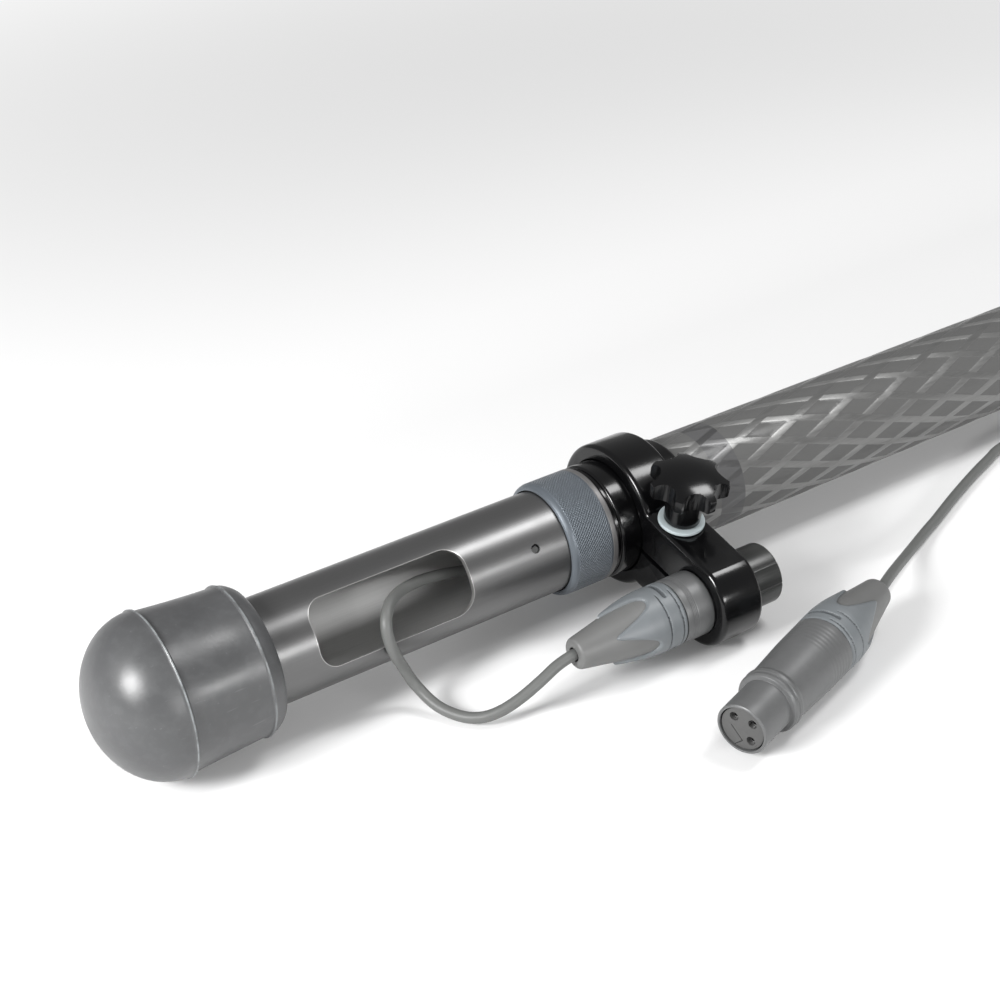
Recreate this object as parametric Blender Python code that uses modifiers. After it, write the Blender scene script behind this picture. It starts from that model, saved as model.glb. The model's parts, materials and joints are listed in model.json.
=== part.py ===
"""Telescopic boom pole: slotted base module, swivelling connector clamp, five nested
tubes with twist locks, and the microphone lead that runs back beside the pole.

Lengths below are millimetres; stations are distances along the pole from the tip of
the rubber end cap. The pole lies along +X on the ground, +Z is up, and the clamp's arm
points to -Y. The origin is at the middle of the pole's footprint, on the ground.
"""

import bmesh
import bpy
from math import asin, atan2, cos, degrees, hypot, pi, radians, sin
from mathutils import Matrix, Vector

MM = 0.001
GAP = 0.3

# Rubber end cap
CAP_RADIUS = 24.5
CAP_SEAM = 20.0
CAP_RIM = 44.6
CAP_LENGTH = 49.5
CAP_WALL_END = 22.2

# Slotted base tube
BASE_RADIUS = 16.0
BASE_WALL = 1.6
BASE_START = 22.5
BASE_END = 158.0
SLOT_START = 62.6
SLOT_END = 113.4
SLOT_CHORD = 20.0
SLOT_CORNER = 6.0
SLOT_ANGLE = radians(151)
BULKHEAD = (130.0, 143.0)
BULKHEAD_RADIUS = 14.1
SCREW_STATION = 136.5
SCREW_RADIUS = 1.5

# Knurled union ring and the collar that the clamp sits on
UNION = (147.4, 164.0)
UNION_RADIUS = 18.1
COLLAR = (164.3, 194.5)
COLLAR_RADIUS = 18.2
NECK_RADIUS = 17.2

# Clamp
CLAMP = (172.45, 187.45)
CLAMP_BIG = 22.8
CLAMP_SMALL = 14.3
CLAMP_WEB = 13.9
CLAMP_BLEND = 1.6
CLAMP_EDGE = 2.4
CLAMP_SLIT = 1.6
ARM_LENGTH = 44.1
KNOB_REACH = 25.2
KNOB_LOBES = 7
KNOB_TURN = radians(11.5)

# Telescopic tubes, outermost first
TUBE_RADII = (17.1, 14.9, 12.7, 10.5, 8.3)
TUBE_WALL = 1.3
TUBE_ENDS = (650.0, 687.0, 721.0, 752.0, 777.0)
TUBE_STARTS = (168.1, 205.0, 217.0, 229.0, 241.0)
LOCK_BEHIND = (16.0, 15.0, 14.0, 13.0)
LOCK_AHEAD = (18.0, 16.0, 14.0, 13.0)
LOCK_RADII = (23.6, 20.6, 17.9, 15.4)

# Microphone end
TIP_BODY = (777.3, 796.0)
TIP_RADIUS = 9.2
LEAD_EXIT = 788.0
STUD_RADIUS = 4.76
TOTAL_LENGTH = 808.0

# Cable connectors
MALE = (128.45, 199.25)
MALE_RADIUS = 9.5
BOOT_RADIUS = 10.0
BOOT_FRONT = 162.45
CABLE_RADIUS = 1.7
CABLE_BORE = 2.3
COIL_RADIUS = 4.5
FEMALE_MOUTH = (147.15, -77.6, 9.35)
FEMALE_END = (222.55, -52.1, 10.6)

# The pole lies on the cap and on the clamp's small eye.
AXIS_HEIGHT = CAP_RADIUS + 0.1
ARM_DROP = asin((AXIS_HEIGHT - CLAMP_SMALL) / ARM_LENGTH)
AXIS_Y = (ARM_LENGTH * cos(ARM_DROP) + CLAMP_SMALL - AXIS_HEIGHT) / 2
HALF_LENGTH = TOTAL_LENGTH / 2

ARM = Vector((0, -cos(ARM_DROP), -sin(ARM_DROP)))
ARM_UP = Vector((0, -sin(ARM_DROP), cos(ARM_DROP)))
POLE = Vector((1, 0, 0))
ACROSS = Vector((0, 1, 0))
UP = Vector((0, 0, 1))

SIDES = 32
SIDES_SMALL = 20

# Cord routes: station, y and z of points on the cords' centrelines.
JUMPER_ROUTE = (
    (125, 16.29, 24.6),
    (121, 16.24, 24.8),
    (112.7, 15.66, 27),
    (103, 13.46, 29.6),
    (93.8, 9.36, 31.6),
    (87.5, 4.56, 32.3),
    (83.9, 0.66, 30.6),
    (82.9, -1.24, 26.5),
    (84.1, -1.64, 20.6),
    (87.1, -0.64, 13.6),
    (89.8, -2.44, 7),
    (92.1, -9.44, 3),
    (95.3, -16.54, 2),
    (99.3, -21.34, 2.4),
    (104.1, -24.34, 4.2),
    (109.9, -26.04, 7),
    (116.2, -26.90, 10.4),
    (122.3, -26.85, 13.2),
    (127.7, -26.59, 14.2),
    (131.1, -26.59, 14.3),
)
LEAD_ROUTE = (
    (219.75, -53.06, 10.55),
    (223.45, -51.80, 10.6),
    (227.15, -50.10, 10.2),
    (233.45, -46.30, 8.9),
    (242.75, -40.70, 6.4),
    (252.75, -35.0, 4),
    (262.05, -30.10, 2.5),
    (270.45, -26.10, 1.85),
    (278.15, -22.90, 1.75),
    (294.35, -15.80, 1.75),
    (310.25, -9.40, 1.75),
    (322.25, -5.10, 1.75),
    (331.05, -2.20, 1.75),
    (352.5, 0.56, 1.75),
    (380, 0.96, 1.75),
    (430, -1.04, 1.75),
    (490, -3.04, 1.75),
    (550, -3.24, 1.75),
    (610, -5.04, 1.75),
    (660, -7.64, 1.75),
    (710, -11.84, 1.75),
    (742, -15.84, 1.9),
    (762, -17.44, 3.2),
    (776, -14.04, 6.6),
    (784.4, -7.64, 11.2),
    (787.6, -1.04, 15.6),
    (788, 3.76, 18.2),
    (788, 5.96, 19.3),
)


def clear_scene():
    for old in list(bpy.data.objects):
        bpy.data.objects.remove(old, do_unlink=True)


def new_collection(name):
    made = bpy.data.collections.new(name)
    bpy.context.scene.collection.children.link(made)
    return made


def material(name, colour, roughness, metallic=0.0):
    made = bpy.data.materials.get(name)
    if made:
        return made
    made = bpy.data.materials.new(name)
    made.use_nodes = True
    shader = made.node_tree.nodes["Principled BSDF"]
    shader.inputs["Base Color"].default_value = (*colour, 1)
    shader.inputs["Roughness"].default_value = roughness
    shader.inputs["Metallic"].default_value = metallic
    made.diffuse_color = (*colour, 1)
    return made


def rubber():
    return material("rubber", (0.13, 0.13, 0.135), 0.55)


def boot_rubber():
    return material("boot_rubber", (0.17, 0.18, 0.19), 0.5)


def aluminium():
    return material("aluminium", (0.27, 0.27, 0.275), 0.35, 0.9)


def blue_aluminium():
    return material("blue_aluminium", (0.2, 0.22, 0.25), 0.4, 0.8)


def black_gloss():
    return material("black_gloss", (0.012, 0.012, 0.013), 0.15)


def black_plastic():
    return material("black_plastic", (0.03, 0.03, 0.032), 0.4)


def carbon():
    return material("carbon", (0.12, 0.12, 0.125), 0.25)


def steel():
    return material("steel", (0.5, 0.5, 0.5), 0.3, 1.0)


def brass():
    return material("brass", (0.6, 0.45, 0.2), 0.35, 1.0)


def washer_plastic():
    return material("washer_plastic", (0.55, 0.62, 0.66), 0.4)


def connector_metal():
    return material("connector_metal", (0.2, 0.2, 0.205), 0.35, 0.8)


def cable_jacket():
    return material("cable_jacket", (0.15, 0.155, 0.16), 0.5)


def frame_matrix(point, along, side):
    """Local Z runs along, local X points to side; point is in millimetres."""
    z = Vector(along).normalized()
    x = (Vector(side) - Vector(side).dot(z) * z).normalized()
    turned_to = Matrix((x, z.cross(x), z)).transposed().to_4x4()
    return Matrix.Translation(Vector(point) * MM) @ turned_to


def pole_frame(station=0.0):
    point = (station - HALF_LENGTH, AXIS_Y, AXIS_HEIGHT)
    return frame_matrix(point, POLE, ACROSS)


def male_frame():
    point = Vector((-HALF_LENGTH, AXIS_Y, AXIS_HEIGHT)) + ARM * ARM_LENGTH
    return frame_matrix(point, POLE, ARM)


def female_frame():
    mouth = Vector(FEMALE_MOUTH) - Vector((HALF_LENGTH, 0, 0))
    end = Vector(FEMALE_END) - Vector((HALF_LENGTH, 0, 0))
    return frame_matrix(mouth, end - mouth, ACROSS - 0.8 * UP)


def put(mesh_or_curve, name, matrix, finish, collection):
    made = bpy.data.objects.new(name, mesh_or_curve)
    made.matrix_world = matrix
    if finish:
        made.data.materials.append(finish)
    collection.objects.link(made)
    return made


def turned(name, profile, matrix, finish, sides=SIDES, closed=True):
    """A turned piece. The profile's (station, radius) points run down the outer side."""
    mesh = bpy.data.meshes.new(name)
    points = [(radius * MM, 0, station * MM) for station, radius in profile]
    edges = [(i, i + 1) for i in range(len(points) - 1)]
    if closed:
        edges.append((len(points) - 1, 0))
    mesh.from_pydata(points, edges, [])
    made = put(mesh, name, matrix, finish, PARTS)
    screw = made.modifiers.new("Turn", "SCREW")
    screw.angle = 2 * pi
    screw.steps = sides
    screw.render_steps = sides
    screw.use_merge_vertices = True
    screw.merge_threshold = 0.00001
    screw.use_smooth_shade = True
    return made


def tube(name, outer, inner, matrix, finish, sides=SIDES):
    """A ring or sleeve: outer and inner outlines, both with rising stations."""
    return turned(name, list(reversed(outer)) + list(inner), matrix, finish, sides)


def rod(name, outer, matrix, finish, sides=SIDES):
    """A solid turned piece: an outline with rising stations, closed on the axis."""
    top, bottom = (outer[-1][0], 0), (outer[0][0], 0)
    profile = [top] + list(reversed(outer)) + [bottom]
    return turned(name, profile, matrix, finish, sides, closed=False)


def pipe(name, start, end, radius, bore, matrix, finish, sides=SIDES):
    outer = [(start, radius), (end, radius)]
    inner = [(start, bore), (end, bore)]
    return tube(name, outer, inner, matrix, finish, sides)


def block_cutter(name, size, matrix, corner=0.0):
    """A box cutter in millimetres; corner rounds its edges along local Z."""
    mesh = bpy.data.meshes.new(name)
    shape = bmesh.new()
    bmesh.ops.create_cube(shape, size=MM)
    bmesh.ops.scale(shape, vec=size, verts=shape.verts)
    if corner:
        upright = [
            e for e in shape.edges
            if abs(e.verts[0].co.z - e.verts[1].co.z) > size[2] * MM / 2
        ]
        bmesh.ops.bevel(
            shape, geom=upright, offset=corner * MM, segments=5,
            profile=0.5, affect="EDGES",
        )
    shape.to_mesh(mesh)
    shape.free()
    return as_cutter(put(mesh, name, matrix, None, CUTTERS))


def round_cutter(name, radius, start, end, matrix, sides=SIDES_SMALL):
    mesh = bpy.data.meshes.new(name)
    shape = bmesh.new()
    middle = Matrix.Translation((0, 0, (start + end) / 2 * MM))
    bmesh.ops.create_cone(
        shape, cap_ends=True, segments=sides, radius1=radius * MM,
        radius2=radius * MM, depth=(end - start) * MM, matrix=middle,
    )
    shape.to_mesh(mesh)
    shape.free()
    return as_cutter(put(mesh, name, matrix, None, CUTTERS))


def as_cutter(made):
    made.hide_render = True
    made.display_type = "WIRE"
    return made


def cut(target, *cutters):
    for cutter in cutters:
        boolean = target.modifiers.new("Cut " + cutter.name, "BOOLEAN")
        boolean.operation = "DIFFERENCE"
        boolean.solver = "EXACT"
        boolean.object = cutter


def loft(name, rings, matrix, finish):
    """A closed solid through rings of equally many points, rising along local Z."""
    mesh = bpy.data.meshes.new(name)
    count = len(rings[0])
    points = [Vector(p) * MM for ring in rings for p in ring]
    faces = [tuple(reversed(range(count)))]
    for level in range(len(rings) - 1):
        for i in range(count):
            a = level * count + i
            b = level * count + (i + 1) % count
            faces.append((a, b, b + count, a + count))
    faces.append(tuple(range(len(points) - count, len(points))))
    mesh.from_pydata(points, [], faces)
    made = put(mesh, name, matrix, finish, PARTS)
    mesh.shade_smooth()
    mesh.set_sharp_from_angle(angle=radians(40))
    return made


def radial_frame(station, angle):
    """Local Z points out of the pole's axis at an angle from +Y towards +Z."""
    point = (station - HALF_LENGTH, AXIS_Y, AXIS_HEIGHT)
    return frame_matrix(point, (0, cos(angle), sin(angle)), POLE)


def end_cap():
    dome = [
        (CAP_SEAM * (1 - sin(a)), (CAP_RADIUS - 0.4) * cos(a))
        for a in (radians(18 * k) for k in range(4, 0, -1))
    ]
    outer = [(0, 0)] + dome + [
        (CAP_SEAM - 0.6, CAP_RADIUS - 0.3),
        (CAP_SEAM + 0.2, CAP_RADIUS + 0.1),
        (CAP_SEAM + 1.2, CAP_RADIUS - 0.8),
        (CAP_SEAM + 11, CAP_RADIUS - 1.65),
        (CAP_RIM - 1, CAP_RADIUS - 2.3),
        (CAP_RIM, CAP_RADIUS - 1.7),
        (CAP_LENGTH - 2.0, CAP_RADIUS - 2.9),
        (CAP_LENGTH, CAP_RADIUS - 4.9),
    ]
    bore = BASE_RADIUS + GAP
    inner = [(CAP_WALL_END, 0), (CAP_WALL_END, bore), (CAP_LENGTH, bore)]
    turned("end_cap", inner + outer[::-1], pole_frame(), rubber(), closed=False)


def base_tube():
    bore = BASE_RADIUS - BASE_WALL
    made = pipe(
        "base_tube", BASE_START, BASE_END, BASE_RADIUS, bore, pole_frame(), aluminium()
    )
    middle = (SLOT_START + SLOT_END) / 2
    outward = Vector((0, cos(SLOT_ANGLE), sin(SLOT_ANGLE)))
    slot_frame = radial_frame(middle, SLOT_ANGLE)
    slot_frame.translation += outward * BASE_RADIUS * MM
    slot = block_cutter(
        "slot_cutter", (SLOT_END - SLOT_START, SLOT_CHORD, 24), slot_frame, SLOT_CORNER
    )
    hole = round_cutter(
        "screw_hole_cutter", SCREW_RADIUS, BASE_RADIUS - 4, BASE_RADIUS + 4,
        radial_frame(SCREW_STATION, SLOT_ANGLE), 16,
    )
    cut(made, slot, hole)


def cable_anchor():
    start, end = BULKHEAD
    bulkhead = rod(
        "bulkhead", [(start, BULKHEAD_RADIUS), (end, BULKHEAD_RADIUS)],
        pole_frame(), black_plastic(), SIDES_SMALL,
    )
    pocket = round_cutter(
        "bulkhead_pocket", SCREW_RADIUS, BULKHEAD_RADIUS - 6, BULKHEAD_RADIUS + 3,
        radial_frame(SCREW_STATION, SLOT_ANGLE), 16,
    )
    cut(bulkhead, pocket)
    rod(
        "bulkhead_screw",
        [(BULKHEAD_RADIUS - 5, SCREW_RADIUS - GAP), (BASE_RADIUS - 0.6, SCREW_RADIUS - GAP)],
        radial_frame(SCREW_STATION, SLOT_ANGLE), steel(), 12,
    )
    tube(
        "cable_gland", [(start - 8, 3.0), (start - 2, 4.6), (start - GAP, 4.6)],
        [(start - 8, CABLE_BORE), (start - GAP, CABLE_BORE)],
        pole_frame(), boot_rubber(), SIDES_SMALL,
    )


def union_ring():
    start, end = UNION
    bore = BASE_RADIUS + GAP
    outer = [
        (start, UNION_RADIUS - 1.3),
        (start + 0.9, UNION_RADIUS - 0.3),
        (start + 2.4, UNION_RADIUS),
        (end - 0.5, UNION_RADIUS),
        (end, UNION_RADIUS - 0.5),
    ]
    inner = [(start, bore), (end, bore)]
    tube("union_ring", outer, inner, pole_frame(), blue_aluminium())


def union_bush():
    spigot = TUBE_RADII[0] - TUBE_WALL - 0.4
    outer = [
        (BASE_END + GAP, BASE_RADIUS - 0.1),
        (UNION[1], BASE_RADIUS - 0.1),
        (UNION[1], spigot),
        (182, spigot),
    ]
    inner = [(BASE_END + GAP, 11.5), (182, 11.5)]
    tube("union_bush", outer, inner, pole_frame(), aluminium(), SIDES_SMALL)


def base_collar():
    start, end = COLLAR
    lip = TUBE_STARTS[0] - GAP
    outer = [
        (start, NECK_RADIUS),
        (start + 1.2, NECK_RADIUS),
        (start + 1.3, COLLAR_RADIUS - 0.5),
        (start + 1.8, COLLAR_RADIUS),
        (end - 1.0, COLLAR_RADIUS),
        (end, COLLAR_RADIUS - 0.6),
    ]
    bore = TUBE_RADII[0] + GAP
    inner = [(start, 15.8), (lip, 15.8), (lip, bore), (end, bore)]
    tube("base_collar", outer, inner, pole_frame(), black_gloss())


def section(number):
    index = number - 1
    radius = TUBE_RADII[index]
    pipe(
        f"section_{number}", TUBE_STARTS[index], TUBE_ENDS[index], radius,
        radius - TUBE_WALL, pole_frame(), carbon(),
    )


def glide_bush(number):
    """The plastic ring on a section's inner end, which guides it in the tube around it."""
    index = number - 1
    start = TUBE_STARTS[index]
    rim = TUBE_RADII[index - 1] - TUBE_WALL - GAP
    spigot = TUBE_RADII[index] - TUBE_WALL - GAP
    bore = spigot - 1.2
    back = start - 6
    end = start + 5.4
    outer = [(back, rim), (start - GAP, rim), (start - GAP, spigot), (end, spigot)]
    inner = [(back, bore), (end, bore)]
    tube(
        f"glide_bush_{number}", outer, inner, pole_frame(), black_plastic(), SIDES_SMALL
    )


def lock_collar(number):
    index = number - 1
    end_of_tube = TUBE_ENDS[index]
    start = end_of_tube - LOCK_BEHIND[index]
    end = end_of_tube + LOCK_AHEAD[index]
    radius = LOCK_RADII[index]
    outer = [
        (start, radius - 2.0),
        (start + 2, radius - 0.4),
        (start + 7, radius),
        (end - 5, radius),
        (end - 1.2, radius - 0.8),
        (end, radius - 2.4),
    ]
    bore = TUBE_RADII[index] + GAP
    lip = TUBE_RADII[index + 1] + 0.6
    inner = [(start, bore), (end - 3, bore), (end - 3, lip), (end, lip)]
    tube(f"lock_collar_{number}", outer, inner, pole_frame(), black_plastic())


def collet(number):
    """The split ring inside a lock collar, which grips the next tube."""
    index = number - 1
    start = TUBE_ENDS[index] + GAP
    end = TUBE_ENDS[index] + LOCK_AHEAD[index] - 3 - GAP
    radius = TUBE_RADII[index] - 0.1
    bore = TUBE_RADII[index + 1] + GAP
    name = f"collet_{number}"
    made = pipe(name, start, end, radius, bore, pole_frame(), black_plastic(), SIDES_SMALL)
    split_frame = radial_frame((start + end) / 2, radians(90))
    split_frame.translation += UP * radius * MM
    split = block_cutter(f"collet_split_{number}", (end - start + 4, 1.6, 12), split_frame)
    cut(made, split)


def arc(centre, radius, start, end, steps):
    """Points of an arc in a plane, its angles in radians."""
    angles = [start + (end - start) * k / steps for k in range(steps + 1)]
    return [(centre[0] + radius * cos(a), centre[1] + radius * sin(a)) for a in angles]


def clamp_outline():
    """Two eyes joined by a straight web, with fillets where the web meets the big eye."""
    height = CLAMP_WEB + CLAMP_BLEND
    reach = CLAMP_BIG + CLAMP_BLEND
    along = (reach**2 - height**2) ** 0.5
    meet = atan2(height, along)
    shoulder = asin(CLAMP_WEB / CLAMP_SMALL)
    eye = (ARM_LENGTH, 0)
    outline = arc((0, 0), CLAMP_BIG, meet, 2 * pi - meet, 30)
    outline += arc((along, -height), CLAMP_BLEND, pi - meet, pi / 2, 4)
    outline += arc(eye, CLAMP_SMALL, -shoulder, shoulder, 16)
    outline += arc((along, height), CLAMP_BLEND, -pi / 2, meet - pi, 4)
    return outline[:-1]


def clamp_frame():
    """Local X runs along the arm, local Y up through the knob, local Z against the pole."""
    point = ((CLAMP[0] + CLAMP[1]) / 2 - HALF_LENGTH, AXIS_Y, AXIS_HEIGHT)
    return frame_matrix(point, -POLE, ARM)


def knob_frame():
    middle = Vector(((CLAMP[0] + CLAMP[1]) / 2 - HALF_LENGTH, AXIS_Y, AXIS_HEIGHT))
    return frame_matrix(middle + ARM * KNOB_REACH, ARM_UP, POLE)


def flat_solid(name, outline, thickness, matrix, finish):
    """An extruded flat outline as one welded mesh object."""
    curve = bpy.data.curves.new(name, "CURVE")
    curve.dimensions = "2D"
    curve.fill_mode = "BOTH"
    curve.extrude = thickness / 2 * MM
    spline = curve.splines.new("POLY")
    spline.points.add(len(outline) - 1)
    for point, (x, y) in zip(spline.points, outline):
        point.co = (x * MM, y * MM, 0, 1)
    spline.use_cyclic_u = True
    drawn = put(curve, name + "_outline", matrix, None, PARTS)
    bpy.context.view_layer.update()
    evaluated = drawn.evaluated_get(bpy.context.evaluated_depsgraph_get())
    mesh = bpy.data.meshes.new_from_object(evaluated)
    bpy.data.objects.remove(drawn, do_unlink=True)
    shape = bmesh.new()
    shape.from_mesh(mesh)
    bmesh.ops.remove_doubles(shape, verts=shape.verts, dist=0.00001)
    bmesh.ops.dissolve_limit(
        shape, angle_limit=radians(1), verts=shape.verts, edges=shape.edges
    )
    bmesh.ops.recalc_face_normals(shape, faces=shape.faces)
    shape.to_mesh(mesh)
    shape.free()
    mesh.materials.clear()
    return put(mesh, name, matrix, finish, PARTS)


def clamp_body():
    matrix = clamp_frame()
    width = CLAMP[1] - CLAMP[0]
    made = flat_solid("clamp_body", clamp_outline(), width, matrix, black_gloss())
    edge = made.modifiers.new("Rounded edges", "BEVEL")
    edge.width = CLAMP_EDGE * MM
    edge.segments = 3
    edge.limit_method = "ANGLE"
    edge.angle_limit = radians(50)
    pole_bore = round_cutter("pole_bore", COLLAR_RADIUS + GAP, -12, 12, matrix, SIDES)
    eye_frame = matrix @ Matrix.Translation((ARM_LENGTH * MM, 0, 0))
    eye_bore = round_cutter("eye_bore", MALE_RADIUS + GAP, -12, 12, eye_frame, SIDES)
    slit_middle = matrix @ Matrix.Translation(((ARM_LENGTH / 2 + 4) * MM, 0, 0))
    slit = block_cutter("slit_cutter", (ARM_LENGTH - 16, CLAMP_SLIT, 30), slit_middle)
    stud_hole = round_cutter("stud_hole", 3.0, -7, 20, knob_frame(), 16)
    insert_hole = round_cutter("insert_hole", 4.8, -20, -6, knob_frame(), 16)
    cut(made, pole_bore, eye_bore, slit, stud_hole, insert_hole)


def clamp_fittings():
    pipe("clamp_washer", CLAMP_WEB + GAP, CLAMP_WEB + 1.4, 7.0, 3.2, knob_frame(),
         washer_plastic(), SIDES_SMALL)
    pipe("clamp_insert", -CLAMP_WEB + 0.4, -6 - GAP, 4.5, 2.8, knob_frame(), brass(), 16)
    rod("knob_stud", [(-CLAMP_WEB + 0.8, 2.2), (-CLAMP_WEB + 1.6, 2.5), (20.0, 2.5)],
        knob_frame(), steel(), 12)


def star(radius, depth, height):
    """One level of the star knob: depth is how far the scallops cut in."""
    count = KNOB_LOBES * 8
    ring = []
    for k in range(count):
        angle = 2 * pi * k / count
        scallop = 0.5 - 0.5 * cos(KNOB_LOBES * angle)
        r = radius - depth * scallop
        turn = angle + KNOB_TURN
        ring.append((r * cos(turn), r * sin(turn), height))
    return ring


def star_knob():
    base = CLAMP_WEB + 1.4 + GAP
    rings = [
        star(5.6, 0.0, base),
        star(5.6, 0.0, base + 10.3),
        star(9.6, 2.6, base + 10.4),
        star(12.1, 3.7, base + 11.1),
        star(12.1, 3.7, base + 14.8),
        star(11.6, 3.4, base + 15.8),
        star(9.0, 1.9, base + 17.1),
        star(5.5, 0.5, base + 17.9),
        star(2.0, 0.0, base + 18.2),
    ]
    made = loft("star_knob", rings, knob_frame(), black_gloss())
    socket = round_cutter("knob_socket", 2.8, base - 2, 20.4, knob_frame(), 12)
    cut(made, socket)


def connector_boot(name, front, end, matrix, facing, finish):
    """The tapered rear sleeve of a connector; facing is +1 if its front is at higher z."""
    length = abs(front - end)
    shape = [
        (0.0, BOOT_RADIUS - 0.2), (1.0, BOOT_RADIUS), (6.5, BOOT_RADIUS),
        (0.38 * length, BOOT_RADIUS - 0.3), (0.55 * length, BOOT_RADIUS - 1.8),
        (0.78 * length, 6.4), (0.93 * length, 5.2), (length, 4.2),
    ]
    cavity = [(0.0, 8.9), (12.6, 8.9), (20.5, 5.9)]
    cable_hole = [(length - 4.0, CABLE_BORE), (length, CABLE_BORE)]
    outer = [(front - facing * x, r) for x, r in shape]
    inner = [(front - facing * x, r) for x, r in cavity + cable_hole]
    if facing > 0:
        outer.reverse()
        inner.reverse()
    tube(name, outer, inner, matrix, finish, SIDES_SMALL)


def male_connector():
    matrix = male_frame()
    end = MALE[1]
    outer = [
        (152.55, 8.6), (BOOT_FRONT + GAP, 8.6), (BOOT_FRONT + GAP, BOOT_RADIUS),
        (CLAMP[0] - GAP, BOOT_RADIUS), (CLAMP[0] - GAP, MALE_RADIUS),
        (end - 0.4, MALE_RADIUS), (end, MALE_RADIUS - 0.4),
    ]
    inner = [(152.55, 7.4), (174.55, 7.4), (174.55, 8.2), (end, 8.2)]
    tube("xlr_m_shell", outer, inner, matrix, connector_metal(), SIDES)
    insert = rod("xlr_m_insert", [(175.15, 7.9), (183.55, 7.9)], matrix, black_plastic(),
                 SIDES_SMALL)
    for number, angle in enumerate((-90, 0, 90), start=1):
        side = Vector((cos(radians(angle)), sin(radians(angle)), 0)) * 4.2 * MM
        pin_matrix = matrix @ Matrix.Translation(side)
        pin_hole = round_cutter(f"pin_hole_{number}", 1.5, 176.55, 186.55, pin_matrix, 12)
        cut(insert, pin_hole)
        rod(f"xlr_m_pin_{number}", [(176.95, 1.2), (196.15, 1.2), (197.15, 0.6)],
            pin_matrix, steel(), 12)
    pipe("xlr_m_chuck", 144.35, 152.15, 5.2, 2.2, matrix, black_plastic(), 16)
    connector_boot("xlr_m_boot", BOOT_FRONT, MALE[0], matrix, 1, boot_rubber())


def female_connector():
    matrix = female_frame()
    length = (Vector(FEMALE_END) - Vector(FEMALE_MOUTH)).length
    boot_front = 45.3
    outer = [
        (0.0, 7.3), (0.5, 7.8), (13.5, 7.8), (13.5, 9.3), (14.5, 9.6), (17.0, 9.6),
        (17.6, 9.3), (24.0, 9.6), (boot_front - GAP, 9.9), (boot_front - GAP, 8.6),
        (57.0, 8.6),
    ]
    inner = [(0.0, 6.9), (24.0, 6.9), (24.0, 7.6), (57.0, 7.6)]
    shell = tube("plug_shell", outer, inner, matrix, connector_metal(), SIDES_SMALL)
    latch_frame = matrix @ Matrix.Translation((8.4 * MM, 0, 19.0 * MM))
    cut(shell, block_cutter("latch_window", (6.0, 4.6, 13.0), latch_frame))
    insert = rod("plug_insert", [(0.6, 6.6), (22.0, 6.6)], matrix, black_plastic(),
                 SIDES_SMALL)
    clearance = matrix @ Matrix.Translation((6.6 * MM, 0, 19.0 * MM))
    cut(insert, block_cutter("latch_clearance", (4.0, 5.0, 14.0), clearance))
    for number, angle in enumerate((90, 180, 270), start=1):
        side = Vector((cos(radians(angle)), sin(radians(angle)), 0)) * 4.1 * MM
        socket_matrix = matrix @ Matrix.Translation(side)
        hole = round_cutter(f"socket_hole_{number}", 1.6, -1, 16, socket_matrix, 12)
        cut(insert, hole)
        pipe(f"plug_contact_{number}", 2.0, 15.6, 1.3, 0.8, socket_matrix, brass(), 12)
    latch(matrix)
    pipe("plug_chuck", 58.0, 66.0, 5.2, 2.2, matrix, black_plastic(), 16)
    connector_boot("plug_boot", boot_front, length, matrix, -1, boot_rubber())


def latch(matrix):
    """The push tab that releases a mated connector."""
    mesh = bpy.data.meshes.new("plug_latch")
    shape = bmesh.new()
    bmesh.ops.create_cube(shape, size=MM)
    bmesh.ops.scale(shape, vec=(2.6, 3.8, 12.2), verts=shape.verts)
    shape.to_mesh(mesh)
    shape.free()
    place = matrix @ Matrix.Translation((8.0 * MM, 0, 19.0 * MM))
    put(mesh, "plug_latch", place, steel(), PARTS)


def microphone_end():
    start, end = TIP_BODY
    spigot = TUBE_RADII[4] - TUBE_WALL - GAP
    outer = [
        (start - 14, spigot), (start, spigot), (start, TIP_RADIUS - 0.6),
        (start + 0.8, TIP_RADIUS), (end - 1.0, TIP_RADIUS), (end, TIP_RADIUS - 1.0),
    ]
    profile = [(end, 0)] + outer[::-1] + [(start - 14, 5.4), (end - 4, 5.4), (end - 4, 0)]
    fitting = turned(
        "tip_fitting", profile, pole_frame(), aluminium(), SIDES_SMALL, closed=False
    )
    exit_frame = lead_exit_frame()
    hole = round_cutter("lead_exit_cutter", 3.4, 2, 14, exit_frame, 16)
    stud_hole = round_cutter("tip_stud_cutter", 3.3, end - 6, end + 2, pole_frame(), 16)
    cut(fitting, hole, stud_hole)
    rod("tip_stud",
        [(end - 3.4, 3.0), (end + GAP, 3.0), (end + GAP, STUD_RADIUS),
         (TOTAL_LENGTH - 0.8, STUD_RADIUS), (TOTAL_LENGTH, STUD_RADIUS - 0.8)],
        pole_frame(), steel(), SIDES_SMALL)
    pipe("tip_washer", end + GAP, end + 1.8, 8.6, STUD_RADIUS + GAP, pole_frame(),
         rubber(), SIDES_SMALL)
    tube("tip_lock_ring",
         [(end + 2.1, 9.2), (end + 2.6, 9.8), (end + 5.4, 9.8), (end + 5.9, 9.2)],
         [(end + 2.1, STUD_RADIUS + GAP), (end + 5.9, STUD_RADIUS + GAP)],
         pole_frame(), blue_aluminium(), SIDES)
    tube("lead_gland", [(6.2, 3.1), (9.4, 3.1), (9.4, 4.0), (10.4, 4.0), (13.6, 2.9)],
         [(6.2, CABLE_BORE), (13.6, CABLE_BORE)], exit_frame, boot_rubber(), 16)


def lead_exit_frame():
    """Local Z points out of the tip fitting, towards the ground and the clamp's side."""
    point = (LEAD_EXIT - HALF_LENGTH, AXIS_Y, AXIS_HEIGHT)
    return frame_matrix(point, (0, -cos(radians(27)), -sin(radians(27))), POLE)


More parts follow.
